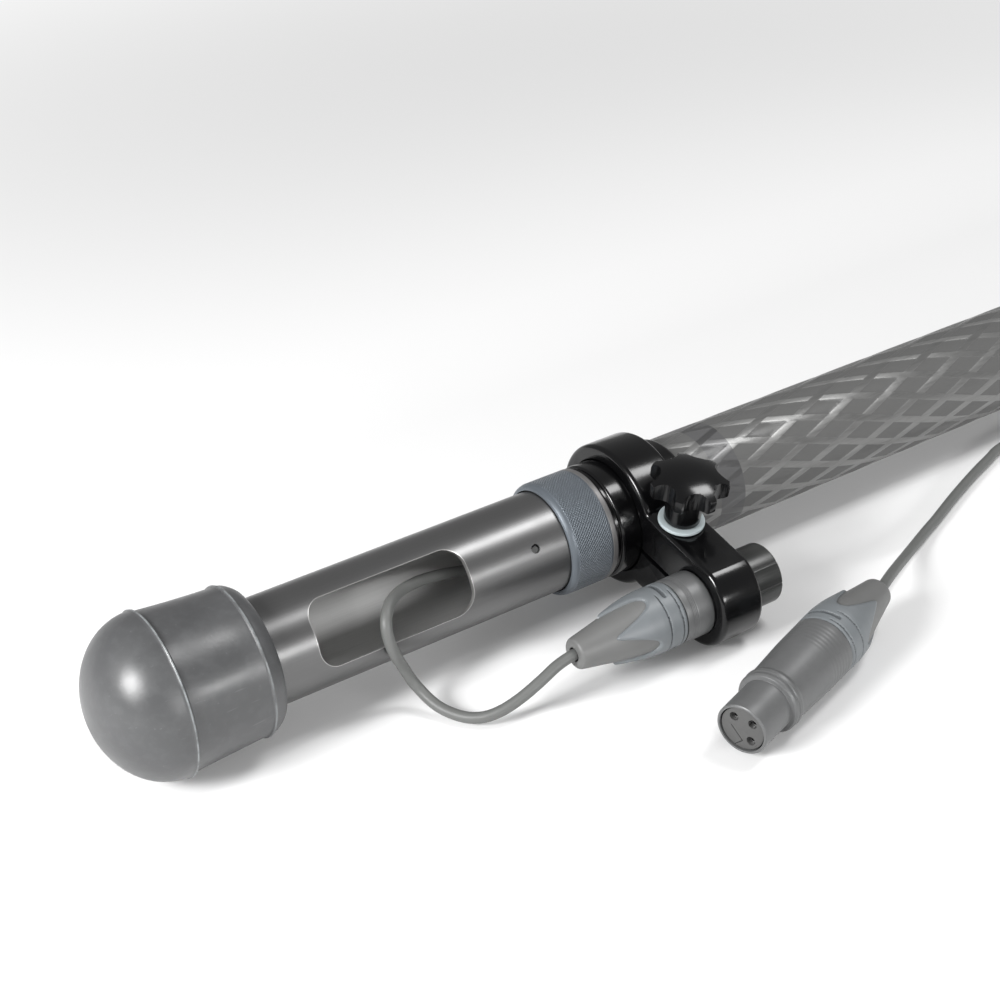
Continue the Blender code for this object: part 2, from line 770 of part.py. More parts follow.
def smooth_route(route):
    """A Catmull-Rom curve through a cord's points, as many short steps in metres."""
    points = [Vector((s - HALF_LENGTH, y, z)) * MM for s, y, z in route]
    padded = [2 * points[0] - points[1]] + points + [2 * points[-1] - points[-2]]
    fine = []
    for a, b, c, d in zip(padded, padded[1:], padded[2:], padded[3:]):
        for k in range(24):
            t = k / 24
            fine.append(
                0.5 * (2 * b + (c - a) * t + (2 * a - 5 * b + 4 * c - d) * t * t
                       + (3 * b - a - 3 * c + d) * t**3)
            )
    return fine + [points[-1]]


def spaced(points, step):
    """Points an even step apart along a fine line, with both of its ends."""
    lengths = [(b - a).length for a, b in zip(points, points[1:])]
    count = max(2, round(sum(lengths) / step))
    target = sum(lengths) / count
    kept = [points[0]]
    run = 0.0
    for point, length in zip(points[1:], lengths):
        run += length
        if run >= target and len(kept) < count:
            kept.append(point)
            run -= target
    return kept + [points[-1]]


def cord(name, route, radius, step, finish):
    curve = bpy.data.curves.new(name, "CURVE")
    curve.dimensions = "3D"
    curve.bevel_depth = radius * MM
    curve.bevel_resolution = 2
    curve.use_fill_caps = True
    points = spaced(smooth_route(route), step * MM)
    spline = curve.splines.new("POLY")
    spline.points.add(len(points) - 1)
    for point, place in zip(spline.points, points):
        point.co = (*place, 1)
    put(curve, name, Matrix.Identity(4), finish, PARTS)


def coiled_cable():
    """The curly cable inside the tubes, as one rod of its outer diameter."""
    rod("coiled_cable",
        [(BULKHEAD[1] + GAP, COIL_RADIUS), (TIP_BODY[0] + 4, COIL_RADIUS)],
        pole_frame(), cable_jacket(), 16)


clear_scene()
PARTS = new_collection("boom_pole")
CUTTERS = new_collection("boom_pole_cutters")

end_cap()
base_tube()
cable_anchor()
union_ring()
union_bush()
base_collar()
for tube_number in range(1, len(TUBE_RADII) + 1):
    section(tube_number)
for tube_number in range(2, len(TUBE_RADII) + 1):
    glide_bush(tube_number)
for lock_number in range(1, len(LOCK_RADII) + 1):
    lock_collar(lock_number)
    collet(lock_number)
clamp_body()
clamp_fittings()
star_knob()
male_connector()
female_connector()
microphone_end()
coiled_cable()
cord("jumper_cable", JUMPER_ROUTE, CABLE_RADIUS, 6.5, cable_jacket())
cord("mic_lead", LEAD_ROUTE, CABLE_RADIUS, 10.0, cable_jacket())
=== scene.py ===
import json
from math import asin, atan2, cos, hypot, pi, radians, sin, sqrt

import bmesh
import bpy
from mathutils import Matrix, Vector, noise


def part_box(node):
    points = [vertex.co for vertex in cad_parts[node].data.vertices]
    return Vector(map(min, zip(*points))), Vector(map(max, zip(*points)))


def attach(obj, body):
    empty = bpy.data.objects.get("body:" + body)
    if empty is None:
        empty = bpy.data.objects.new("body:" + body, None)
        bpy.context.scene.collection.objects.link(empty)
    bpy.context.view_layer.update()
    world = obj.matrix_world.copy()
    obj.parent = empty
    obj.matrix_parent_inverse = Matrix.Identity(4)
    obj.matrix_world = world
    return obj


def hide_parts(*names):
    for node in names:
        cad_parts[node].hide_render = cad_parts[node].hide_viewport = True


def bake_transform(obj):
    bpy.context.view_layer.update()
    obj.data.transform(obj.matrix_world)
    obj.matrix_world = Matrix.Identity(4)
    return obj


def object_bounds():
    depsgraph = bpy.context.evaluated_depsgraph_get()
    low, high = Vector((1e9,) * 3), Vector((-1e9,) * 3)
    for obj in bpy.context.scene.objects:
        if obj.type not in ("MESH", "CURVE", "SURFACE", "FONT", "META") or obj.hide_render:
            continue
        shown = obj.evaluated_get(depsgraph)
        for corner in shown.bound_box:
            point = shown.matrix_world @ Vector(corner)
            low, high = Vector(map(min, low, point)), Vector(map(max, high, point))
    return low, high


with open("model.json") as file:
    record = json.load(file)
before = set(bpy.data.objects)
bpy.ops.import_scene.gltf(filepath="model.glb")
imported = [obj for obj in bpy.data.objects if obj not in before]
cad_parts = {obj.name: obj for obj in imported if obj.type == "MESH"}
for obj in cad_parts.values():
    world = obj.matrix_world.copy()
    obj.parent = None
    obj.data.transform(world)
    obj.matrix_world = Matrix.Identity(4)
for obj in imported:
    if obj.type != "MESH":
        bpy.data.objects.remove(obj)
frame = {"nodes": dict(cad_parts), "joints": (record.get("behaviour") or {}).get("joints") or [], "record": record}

# Lengths are millimetres, as stations along the pole from the tip of its rubber cap.
MM = 0.001
CAD_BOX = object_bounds()
ACROSS = Vector((0, 1, 0))
UP = Vector((0, 0, 1))
POLE = Vector((1, 0, 0))


# ---- places

def centre(node):
    low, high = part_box(node)
    return (Vector(low) + Vector(high)) / 2


def basis(point, along, side):
    """Local Z runs along, local X points to side; point is in metres."""
    z = Vector(along).normalized()
    x = (Vector(side) - Vector(side).dot(z) * z).normalized()
    return Matrix.Translation(point) @ Matrix((x, z.cross(x), z)).transposed().to_4x4()


START = CAD_BOX[0][0]
POLE_AXIS = centre("section_1")
MALE_AXIS = centre("xlr_m_insert")
POLE_FRAME = basis(Vector((START, POLE_AXIS.y, POLE_AXIS.z)), POLE, ACROSS)
ARM = Vector((0, MALE_AXIS.y - POLE_AXIS.y, MALE_AXIS.z - POLE_AXIS.z))
ARM_LENGTH = ARM.length / MM
ARM.normalize()
MALE_FRAME = basis(Vector((START, MALE_AXIS.y, MALE_AXIS.z)), POLE, ARM)
CLAMP_MIDDLE = centre("clamp_body").x
CLAMP_FRAME = basis(Vector((CLAMP_MIDDLE, POLE_AXIS.y, POLE_AXIS.z)), -POLE, ARM)
KNOB = next(j for j in frame["joints"] if j["name"] == "knob_turn")
KNOB_FRAME = basis(Vector(KNOB["pos_m"]), KNOB["axis"], POLE)
PLUG_FACE = next(
    m for m in frame["record"]["mounts"] if m["name"] == "microphone_connector"
)
PLUG_AXIS = -Vector(PLUG_FACE["axis"])
PLUG_MOUTH = Vector(PLUG_FACE["pos_m"]) - PLUG_AXIS * 0.6 * MM
PLUG_FRAME = basis(PLUG_MOUTH, PLUG_AXIS, ACROSS - 0.8 * UP)


def station(s):
    return START + s * MM


def place(point):
    """A route point (station, y, z) in the row frame."""
    s, y, z = point
    return Vector((station(s), y * MM, z * MM))


# ---- finishes

class Finish:
    """A node material on object coordinates in millimetres."""

    def __init__(self, name, colour, roughness, metallic=0.0):
        self.material = bpy.data.materials.new(name)
        self.material.use_nodes = True
        tree = self.material.node_tree
        self.nodes, self.links = tree.nodes, tree.links
        self.shader = self.nodes["Principled BSDF"]
        self.set("Base Color", (*colour, 1))
        self.set("Roughness", roughness)
        self.set("Metallic", metallic)
        self.colour = colour
        self.material.diffuse_color = (*colour, 1)
        coordinates = self.nodes.new("ShaderNodeTexCoord")
        scale = self.nodes.new("ShaderNodeVectorMath")
        scale.operation = "SCALE"
        scale.inputs["Scale"].default_value = 1 / MM
        self.links.new(coordinates.outputs["Object"], scale.inputs[0])
        self.place = scale.outputs[0]
        self.last_normal = None

    def set(self, socket, value):
        self.shader.inputs[socket].default_value = value

    def link(self, value, socket):
        if isinstance(value, (int, float)):
            socket.default_value = value
        else:
            self.links.new(value, socket)

    def math(self, operation, *values):
        node = self.nodes.new("ShaderNodeMath")
        node.operation = operation
        for value, socket in zip(values, node.inputs):
            self.link(value, socket)
        return node.outputs[0]

    def times(self, *values):
        return self.math("MULTIPLY", *values)

    def plus(self, *values):
        return self.math("ADD", *values)

    def less(self, *values):
        return self.math("SUBTRACT", *values)

    def smooth(self, value, low, high):
        """0 below low and 1 above high, with a soft step between."""
        node = self.nodes.new("ShaderNodeMapRange")
        node.interpolation_type = "SMOOTHSTEP"
        self.link(value, node.inputs["Value"])
        node.inputs["From Min"].default_value = low
        node.inputs["From Max"].default_value = high
        return node.outputs["Result"]

    def between(self, value, low, high, soft):
        """1 from low to high and 0 outside."""
        below = self.smooth(self.times(value, -1.0), -high - soft, -high + soft)
        return self.times(self.smooth(value, low - soft, low + soft), below)

    def distance(self, *values):
        squares = [self.times(value, value) for value in values]
        return self.math("SQRT", self.plus(*squares))

    def noise(self, size, detail=3.0, stretch=(1, 1, 1)):
        """Noise whose features are about size millimetres across."""
        mapping = self.nodes.new("ShaderNodeMapping")
        mapping.inputs["Scale"].default_value = [1 / (size * k) for k in stretch]
        self.links.new(self.place, mapping.inputs["Vector"])
        node = self.nodes.new("ShaderNodeTexNoise")
        node.inputs["Scale"].default_value = 1.0
        node.inputs["Detail"].default_value = detail
        self.links.new(mapping.outputs[0], node.inputs["Vector"])
        return node.outputs["Fac"]

    def split(self, vector=None):
        node = self.nodes.new("ShaderNodeSeparateXYZ")
        self.links.new(vector or self.place, node.inputs[0])
        return node.outputs[0], node.outputs[1], node.outputs[2]

    def mixer(self, factor):
        """The two colour inputs and the output of a new mix."""
        node = self.nodes.new("ShaderNodeMix")
        node.data_type = "RGBA"
        self.link(factor, node.inputs["Factor"])
        colours = [socket for socket in node.inputs if socket.type == "RGBA"]
        return *colours, next(s for s in node.outputs if s.type == "RGBA")

    def tint(self, factor, low, high):
        """Base colour times low where factor is 0 and high where it is 1."""
        dark, light, output = self.mixer(factor)
        dark.default_value = (*[c * low for c in self.colour], 1)
        light.default_value = (*[c * high for c in self.colour], 1)
        self.links.new(output, self.shader.inputs["Base Color"])

    def mix(self, factor, colour):
        """Lays a colour over what the base colour already is."""
        before = self.shader.inputs["Base Color"].links[0].from_socket
        under, over, output = self.mixer(factor)
        self.links.new(before, under)
        over.default_value = (*colour, 1)
        self.links.new(output, self.shader.inputs["Base Color"])

    def spread(self, socket, factor, low, high):
        node = self.nodes.new("ShaderNodeMapRange")
        self.link(factor, node.inputs["Value"])
        node.inputs["To Min"].default_value = low
        node.inputs["To Max"].default_value = high
        self.links.new(node.outputs["Result"], self.shader.inputs[socket])

    def rough(self, factor, low, high):
        self.spread("Roughness", factor, low, high)

    def bump(self, height, depth, strength=1.0):
        """Height 0 to 1 raises the surface by depth millimetres."""
        node = self.nodes.new("ShaderNodeBump")
        node.inputs["Distance"].default_value = depth * MM
        node.inputs["Strength"].default_value = strength
        self.link(height, node.inputs["Height"])
        if self.last_normal:
            self.links.new(self.last_normal, node.inputs["Normal"])
        self.last_normal = node.outputs[0]
        self.links.new(self.last_normal, self.shader.inputs["Normal"])


def finish_rubber():
    made = Finish("cap_rubber", (0.063, 0.064, 0.066), 0.34)
    made.set("Specular IOR Level", 0.62)
    clouds = made.noise(14, 4)
    mottle = made.smooth(made.noise(2.6, 4), 0.42, 0.72)
    dust = made.smooth(made.noise(1.1, 2), 0.68, 0.8)
    made.tint(made.smooth(clouds, 0.35, 0.7), 0.94, 1.06)
    scuffs = made.smooth(made.noise(2.2, 3, (0.5, 0.5, 7)), 0.68, 0.82)
    made.mix(made.times(mottle, 0.05), (0.24, 0.25, 0.255))
    made.mix(made.times(dust, 0.12), (0.3, 0.31, 0.32))
    made.mix(made.times(scuffs, 0.16), (0.34, 0.35, 0.36))
    z = made.split()[2]
    for seam, clean in ((20.2, 0.4), (44.5, 0.22)):
        off = made.math("ABSOLUTE", made.less(z, seam))
        line = made.less(1.0, made.smooth(off, 0.1, 0.42))
        worn = made.smooth(made.noise(3.5, 3), 0.3, 0.6)
        line = made.times(line, made.plus(worn, 0.25))
        made.mix(made.times(line, clean), (0.42, 0.45, 0.46))
    made.rough(made.smooth(clouds, 0.3, 0.7), 0.29, 0.42)
    made.bump(made.noise(0.9, 3), 0.02)
    return made


# The base tube's slot
SLOT_STATION = 88
SLOT_ANGLE = 151
SLOT_LENGTH = 50.8
SLOT_WIDTH = 20.0
SLOT_CORNER = 6.0
SLOT = (SLOT_STATION, radians(SLOT_ANGLE), SLOT_LENGTH / 2, SLOT_WIDTH / 2, SLOT_CORNER)


def finish_aluminium(name="satin_aluminium", slot=None):
    """Brushed along the tube. slot is its station, angle, half sides and corner: a
    light band is painted along its edge as a highlight."""
    made = Finish(name, (0.148, 0.148, 0.148), 0.3, 0.8)
    grain = made.noise(0.25, 2, (1, 1, 60))
    made.tint(grain, 0.93, 1.06)
    made.rough(made.noise(9, 3), 0.29, 0.36)
    made.bump(grain, 0.004)
    if slot:
        s, turn, long_half, wide_half, corner = slot
        x, y, z = made.split()
        across = made.less(made.times(y, cos(turn)), made.times(x, sin(turn)))
        facing = made.plus(made.times(x, cos(turn)), made.times(y, sin(turn)))
        past = []
        along = made.less(z, s)
        for value, half in ((along, long_half), (across, wide_half)):
            off = made.less(made.math("ABSOLUTE", value), half - corner)
            past.append(made.math("MAXIMUM", off, 0.0))
        away = made.distance(*past)
        # Painted highlight: the outer surface just round the slot's edge is lightened.
        highlight_band = made.less(1.0, made.smooth(away, corner + 0.1, corner + 0.26))
        highlight_band = made.times(highlight_band, made.smooth(facing, 1.0, 2.0))
        made.mix(made.times(highlight_band, 0.6), (0.55, 0.54, 0.53))
    return made


def plain_finish(name, colour, roughness, metallic, mottle, gloss, relief, detail=3):
    """A finish with even mottling. mottle and gloss are a size and a range of values,
    relief is a size and a depth."""
    made = Finish(name, colour, roughness, metallic)
    size, low, high = mottle
    made.tint(made.noise(size, detail), low, high)
    if gloss:
        size, low, high = gloss
        made.rough(made.noise(size, 2), low, high)
    size, depth = relief
    made.bump(made.noise(size, 2), depth)
    return made


def finish_bore():
    made = Finish("tube_bore", (0.45, 0.45, 0.445), 0.5, 0.15)
    grain = made.noise(0.3, 2, (1, 1, 50))
    made.tint(grain, 0.9, 1.08)
    made.bump(grain, 0.004)
    return made


def finish_knurl(name="knurled_aluminium", radius=18.1, low=149.3, high=161.4,
                 band=None):
    """A diamond knurl whose one winding is cut deeper, and a plain band past it."""
    made = Finish(name, (0.122, 0.139, 0.158), 0.42, 0.35)
    x, y, z = made.split()
    around = made.times(made.math("ARCTAN2", y, x), radius)
    pitch = 2 * pi * radius / round(2 * pi * radius / 1.05)
    heights = []
    for sign in ("ADD", "SUBTRACT"):
        slant = made.math("DIVIDE", made.math(sign, around, z), pitch)
        wave = made.math("PINGPONG", slant, 0.5)
        heights.append(made.times(wave, 2.0))
    main, other = heights
    both = made.times(main, made.plus(0.45, other))
    diamond = made.times(both, 0.7)
    relief = made.times(diamond, made.between(z, low, high, 0.3))
    clouds = made.times(made.noise(3, 3), 0.3)
    # Painted shade and highlight: the knurl's grooves are darker and its diamond tops lighter; the cloudy noise
    # adds random tone.
    made.tint(made.plus(made.times(relief, 0.8), clouds), 0.85, 1.3)
    if band:
        plain = made.times(made.smooth(z, band, band + 0.3), 0.8)
        made.mix(plain, (0.15, 0.142, 0.137))
    made.rough(made.noise(5, 2), 0.36, 0.46)
    made.bump(relief, 0.3)
    return made


def finish_black():
    made = Finish("gloss_black", (0.002, 0.002, 0.0023), 0.18)
    made.set("Specular IOR Level", 0.4)
    smear = made.noise(11, 4)
    made.tint(made.smooth(made.noise(0.8, 2), 0.72, 0.8), 1.0, 3.0)
    made.rough(made.smooth(smear, 0.3, 0.75), 0.15, 0.22)
    made.bump(made.noise(1.4, 2), 0.006)
    return made


def finish_black_satin():
    made = Finish("satin_black", (0.03, 0.031, 0.03), 0.3, 0.2)
    grain = made.noise(0.35, 2, (1, 1, 25))
    made.tint(grain, 0.7, 1.5)
    made.rough(grain, 0.26, 0.36)
    made.bump(grain, 0.006)
    return made


CARBON_STARTS = 13
CARBON_SLOPE = 0.336
CARBON_PHASES = (-0.033, 0.263)


def finish_carbon(name, radius, label=None):
    """Tows wound both ways round the tube. A tow shines across its fibres, so each
    winding shows only where the light meets it."""
    made = Finish(name, (0.125, 0.125, 0.123), 0.36, 0.35)
    made.set("Anisotropic", 0.85)
    made.set("Specular IOR Level", 0.2)
    made.set("Coat Weight", 0.25)
    made.set("Coat Roughness", 0.15)
    x, y, z = made.split()
    angle = made.math("ARCTAN2", y, x)
    around = made.times(angle, radius)
    pitch = 2 * pi * radius / CARBON_STARTS
    masks, cells = [], []
    for sign, shift in zip((-1, 1), CARBON_PHASES):
        along = made.times(z, sign * CARBON_SLOPE)
        turns = made.math("DIVIDE", made.plus(around, along), pitch)
        turns = made.plus(turns, shift)
        masks.append(made.smooth(made.math("PINGPONG", turns, 0.5), 0.345, 0.37))
        cells.append(made.math("FLOOR", turns))
    one, other = masks
    parity = made.math("PINGPONG", made.plus(*cells), 1.0)
    both = made.times(one, other)
    one_up = made.less(one, made.times(both, parity))
    other_up = made.less(other, made.times(both, made.less(1.0, parity)))
    tow = made.math("MAXIMUM", one_up, other_up)
    streak = made.noise(0.6, 3, (1, 1, 12))
    made.tint(made.times(tow, made.plus(streak, 0.45)), 0.84, 1.7)
    made.spread("Metallic", tow, 0.05, 0.66)
    ground = made.times(made.less(1.0, tow), 0.3)
    made.rough(made.plus(made.times(streak, 0.1), ground), 0.27, 1.27)
    made.bump(made.math("MAXIMUM", one, other), 0.02)
    tangents = made.nodes.new("ShaderNodeCombineXYZ")
    sine = made.math("SINE", angle)
    cosine = made.math("COSINE", angle)
    lean = made.less(one_up, other_up)
    lean = made.times(lean, CARBON_SLOPE)
    made.links.new(made.times(made.times(sine, -1.0), lean), tangents.inputs[0])
    made.links.new(made.times(cosine, lean), tangents.inputs[1])
    tangents.inputs[2].default_value = 1.0
    cross = made.nodes.new("ShaderNodeVectorMath")
    cross.operation = "CROSS_PRODUCT"
    outward = made.nodes.new("ShaderNodeCombineXYZ")
    made.links.new(cosine, outward.inputs[0])
    made.links.new(sine, outward.inputs[1])
    made.links.new(outward.outputs[0], cross.inputs[0])
    made.links.new(tangents.outputs[0], cross.inputs[1])
    turn = made.nodes.new("ShaderNodeVectorTransform")
    turn.vector_type = "VECTOR"
    turn.convert_from = "OBJECT"
    turn.convert_to = "WORLD"
    made.links.new(cross.outputs[0], turn.inputs[0])
    made.links.new(turn.outputs[0], made.shader.inputs["Tangent"])
    if label:
        band = made.between(z, *label, 0.1)
        made.mix(made.times(band, 0.8), (0.085, 0.085, 0.087))
    return made


RUBBER = finish_rubber()
ALUMINIUM = finish_aluminium()
SLOTTED = finish_aluminium("slotted_aluminium", SLOT)
# Painted highlight: the slot's bevelled edge is pale and only a little metallic, so it looks lit from any side.
EDGE_HIGHLIGHT = plain_finish("painted_edge_highlight", (0.72, 0.71, 0.69), 0.4, 0.35,
                    (0.6, 0.85, 1.1), None, (0.4, 0.01), detail=2)
BORE = finish_bore()
KNURL = finish_knurl(band=161.8)
BLACK = finish_black()
BLACK_SATIN = finish_black_satin()
PLASTIC = plain_finish("moulded_black", (0.028, 0.028, 0.03), 0.45, 0.0,
                       (4, 0.85, 1.2), (2, 0.4, 0.5), (0.35, 0.012))
METAL_LOOK = (0.26, 1.0, (2, 0.9, 1.05), (0.5, 0.2, 0.32), (0.3, 0.004))
STEEL = plain_finish("plain_steel", (0.52, 0.52, 0.52), *METAL_LOOK)
BRASS = plain_finish("plain_brass", (0.58, 0.44, 0.2), *METAL_LOOK)
WASHER = plain_finish("washer_plastic", (0.42, 0.475, 0.49), 0.42, 0.0,
                      (3, 0.95, 1.04), None, (0.5, 0.008))
SHELL = plain_finish("shell_metal", (0.122, 0.124, 0.125), 0.4, 0.2,
                     (2.5, 0.92, 1.08), (1.2, 0.36, 0.48), (0.45, 0.01))
INSERT = plain_finish("insert_plastic", (0.076, 0.076, 0.075), 0.45, 0.0,
                      (1.5, 0.92, 1.06), None, (0.3, 0.01))
BOOT = plain_finish("boot_rubber", (0.133, 0.134, 0.132), 0.45, 0.0,
                    (5, 0.94, 1.05), (2, 0.42, 0.52), (0.3, 0.008))
TONGUES = plain_finish("boot_ring", (0.15, 0.163, 0.172), 0.42, 0.0,
                       (5, 0.94, 1.05), (2, 0.38, 0.48), (0.3, 0.008))
# Painted shade: the darker finish laid in the boot ring's grooves.
GROOVE_SHADE = plain_finish("painted_groove_shade", (0.07, 0.078, 0.084), 0.5, 0.0,
                    (2, 0.85, 1.1), None, (0.3, 0.008))
CABLE = plain_finish("cable_jacket", (0.118, 0.121, 0.117), 0.48, 0.0,
                     (4, 0.92, 1.07), (2, 0.42, 0.54), (0.5, 0.012))
GRIP = plain_finish("grip_rubber", (0.05, 0.05, 0.052), 0.55, 0.0,
                    (6, 0.9, 1.15), (2, 0.5, 0.62), (0.35, 0.015))


# ---- building

def add(name, mesh, matrix, finishes, body, *stands_for):
    made = bpy.data.objects.new(name, mesh)
    made.matrix_world = matrix
    bpy.context.scene.collection.objects.link(made)
    for finish in finishes if isinstance(finishes, (list, tuple)) else [finishes]:
        mesh.materials.append(finish.material)
    if stands_for:
        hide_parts(*stands_for)
    if body:
        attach(made, body)
    return made


def soften(points, size, closed):
    """Rounds the corners of an outline of (station, radius) points."""
    out = []
    count = len(points)
    for i, point in enumerate(points):
        if not closed and i in (0, count - 1):
            out.append(point)
            continue
        here = Vector(point)
        before = Vector(points[i - 1]) - here
        after = Vector(points[(i + 1) % count]) - here
        if before.length < 1e-6 or after.length < 1e-6:
            continue
        if before.angle(-after) < radians(14):
            out.append(point)
            continue
        cut = min(size, before.length * 0.45, after.length * 0.45)
        a = here + before.normalized() * cut
        b = here + after.normalized() * cut
        for k in range(5):
            t = k / 4
            out.append(tuple(a * (1 - t) ** 2 + here * 2 * t * (1 - t) + b * t * t))
    return out


def revolve(name, profile, sides, closed, warp=None):
    """A turned mesh. warp(station, radius, angle) may return a changed radius."""
    mesh = bpy.data.meshes.new(name)
    points, rows = [], []
    for s, r in profile:
        if r < 1e-6:
            rows.append([len(points)] * sides)
            points.append((0, 0, s * MM))
            continue
        row = []
        for k in range(sides):
            a = 2 * pi * k / sides
            radius = warp(s, r, a) if warp else r
            row.append(len(points))
            points.append((radius * cos(a) * MM, radius * sin(a) * MM, s * MM))
        rows.append(row)
    faces = []
    pairs = list(zip(rows, rows[1:] + rows[:1])) if closed else list(zip(rows, rows[1:]))
    for low, high in pairs:
        for k in range(sides):
            n = (k + 1) % sides
            face = [low[k], low[n], high[n], high[k]]
            face = [v for i, v in enumerate(face) if v != face[i - 1]]
            if len(face) > 2:
                faces.append(face)
    mesh.from_pydata(points, [], faces)
    return tidy(mesh)


def tidy(mesh, angle=34):
    shape = bmesh.new()
    shape.from_mesh(mesh)
    bmesh.ops.recalc_face_normals(shape, faces=shape.faces)
    shape.to_mesh(mesh)
    shape.free()
    mesh.shade_smooth()
    mesh.set_sharp_from_angle(angle=radians(angle))
    return mesh


def ring(name, outer, inner, matrix, finish, body, *stands_for, sides=160, edge=0.3,
         warp=None):
    """A sleeve from its outer and inner outlines, both with rising stations."""
    profile = soften(list(outer) + list(reversed(inner)), edge, True)
    mesh = revolve(name, profile, sides, True, warp)
    return add(name, mesh, matrix, finish, body, *stands_for)


def solid(name, outline, matrix, finish, body, *stands_for, sides=96, edge=0.3):
    """A turned solid from an outline with rising stations, closed on the axis."""
    profile = [(outline[0][0], 0)] + list(outline) + [(outline[-1][0], 0)]
    mesh = revolve(name, soften(profile, edge, False), sides, False)
    return add(name, mesh, matrix, finish, body, *stands_for)


def bake(made, angle=34):
    """Applies an object's modifiers to its mesh."""
    bpy.context.view_layer.update()
    evaluated = made.evaluated_get(bpy.context.evaluated_depsgraph_get())
    mesh = bpy.data.meshes.new_from_object(evaluated)
    made.modifiers.clear()
    made.data = mesh
    mesh.shade_smooth()
    mesh.set_sharp_from_angle(angle=radians(angle))
    return made


def box_mesh(name, size, corner):
    """A box in millimetres whose edges along local Z are rounded."""
    mesh = bpy.data.meshes.new(name)
    shape = bmesh.new()
    bmesh.ops.create_cube(shape, size=MM)
    bmesh.ops.scale(shape, vec=size, verts=shape.verts)
    if corner:
        upright = [
            e for e in shape.edges
            if abs(e.verts[0].co.z - e.verts[1].co.z) > size[2] * MM / 2
        ]
        bmesh.ops.bevel(
            shape, geom=upright, offset=corner * MM, segments=12, profile=0.5,
            affect="EDGES",
        )
    shape.to_mesh(mesh)
    shape.free()
    return mesh


def rod_mesh(name, radius, start, end, sides):
    profile = [(start, 0), (start, radius), (end, radius), (end, 0)]
    return revolve(name, profile, sides, False)


def carve(made, *cutters):
    """Cuts (mesh, matrix) solids out of an object."""
    holders = []
    for mesh, matrix in cutters:
        holder = bpy.data.objects.new("carver", mesh)
        holder.matrix_world = matrix
        bpy.context.scene.collection.objects.link(holder)
        boolean = made.modifiers.new("Carve", "BOOLEAN")
        boolean.operation = "DIFFERENCE"
        boolean.solver = "EXACT"
        boolean.object = holder
        holders.append(holder)
    bake(made)
    for holder in holders:
        bpy.data.objects.remove(holder, do_unlink=True)


def bevel(made, width, segments=2, limit=50, material=-1):
    edge = made.modifiers.new("Edges", "BEVEL")
    edge.width = width * MM
    edge.segments = segments
    edge.limit_method = "ANGLE"
    edge.angle_limit = radians(limit)
    edge.use_clamp_overlap = True
    edge.harden_normals = False
    edge.material = material
    bake(made)


def round_off(mesh, *radii):
    """Gives faces on a round wall the normals of the true cylinder."""
    normals = [Vector(corner.vector) for corner in mesh.corner_normals]
    for face in mesh.polygons:
        middle = Vector((face.center.x, face.center.y, 0)).normalized()
        facing = face.normal.dot(middle)
        if abs(facing) < 0.985:
            continue
        for corner in face.loop_indices:
            point = mesh.vertices[mesh.loops[corner].vertex_index].co
            reach = hypot(point.x, point.y) / MM
            if min(abs(reach - r) for r in radii) < 0.05:
                out = Vector((point.x, point.y, 0)).normalized()
                normals[corner] = out if facing > 0 else -out
    mesh.normals_split_custom_set(normals)


def at_angle(s, degrees_round, radius=0.0):
    """A frame at a station whose local Z points out of the pole's axis."""
    a = radians(degrees_round)
    out = Vector((0, cos(a), sin(a)))
    point = Vector((station(s), POLE_AXIS.y, POLE_AXIS.z)) + out * radius * MM
    return basis(point, out, POLE)


# ---- the cords

JUMPER_ROUTE = (
    (125, 16.29, 24.6), (121, 16.24, 24.8), (112.7, 15.66, 27),
    (103, 13.46, 29.6), (93.8, 9.36, 31.6), (87.5, 4.56, 32.3),
    (83.9, 0.66, 30.6), (82.9, -1.24, 26.5), (84.1, -1.64, 20.6),
    (87.1, -0.64, 13.6), (89.8, -2.44, 7), (92.1, -9.44, 3),
    (95.3, -16.54, 2), (99.3, -21.34, 2.4), (104.1, -24.34, 4.2),
    (109.9, -26.04, 7), (116.2, -26.90, 10.4), (122.3, -26.85, 13.2),
    (127.7, -26.59, 14.2), (131.1, -26.59, 14.3),
)
LEAD_ROUTE = (
    (219.75, -53.06, 10.55), (223.45, -51.80, 10.6), (227.15, -50.10, 10.2),
    (233.45, -46.30, 8.9), (242.75, -40.70, 6.4), (252.75, -35.0, 4),
    (262.05, -30.10, 2.5), (270.45, -26.10, 1.85), (278.15, -22.90, 1.75),
    (294.35, -15.80, 1.75), (310.25, -9.40, 1.75), (322.25, -5.10, 1.75),
    (331.05, -2.20, 1.75), (352.5, 0.56, 1.75), (380, 0.96, 1.75),
    (430, -1.04, 1.75), (490, -3.04, 1.75), (550, -3.24, 1.75),
    (610, -5.04, 1.75), (660, -7.64, 1.75), (710, -11.84, 1.75),
    (742, -15.84, 1.9), (762, -17.44, 3.2), (776, -14.04, 6.6),
    (784.4, -7.64, 11.2), (787.6, -1.04, 15.6), (788, 3.76, 18.2),
    (788, 5.96, 19.3),
)
CABLE_RADIUS = 1.7


def smooth_route(route):
    """A Catmull-Rom curve through a cord's points."""
    points = [place(p) for p in route]
    padded = [2 * points[0] - points[1]] + points + [2 * points[-1] - points[-2]]
    fine = []
    for a, b, c, d in zip(padded, padded[1:], padded[2:], padded[3:]):
        for k in range(24):
            t = k / 24
            fine.append(
                0.5 * (2 * b + (c - a) * t + (2 * a - 5 * b + 4 * c - d) * t * t
                       + (3 * b - a - 3 * c + d) * t**3)
            )
    return fine + [points[-1]]


def spaced(points, step):
    lengths = [(b - a).length for a, b in zip(points, points[1:])]
    count = max(2, round(sum(lengths) / step))
    target = sum(lengths) / count
    kept, run = [points[0]], 0.0
    for point, length in zip(points[1:], lengths):
        run += length
        if run >= target and len(kept) < count:
            kept.append(point)
            run -= target
    return kept + [points[-1]]


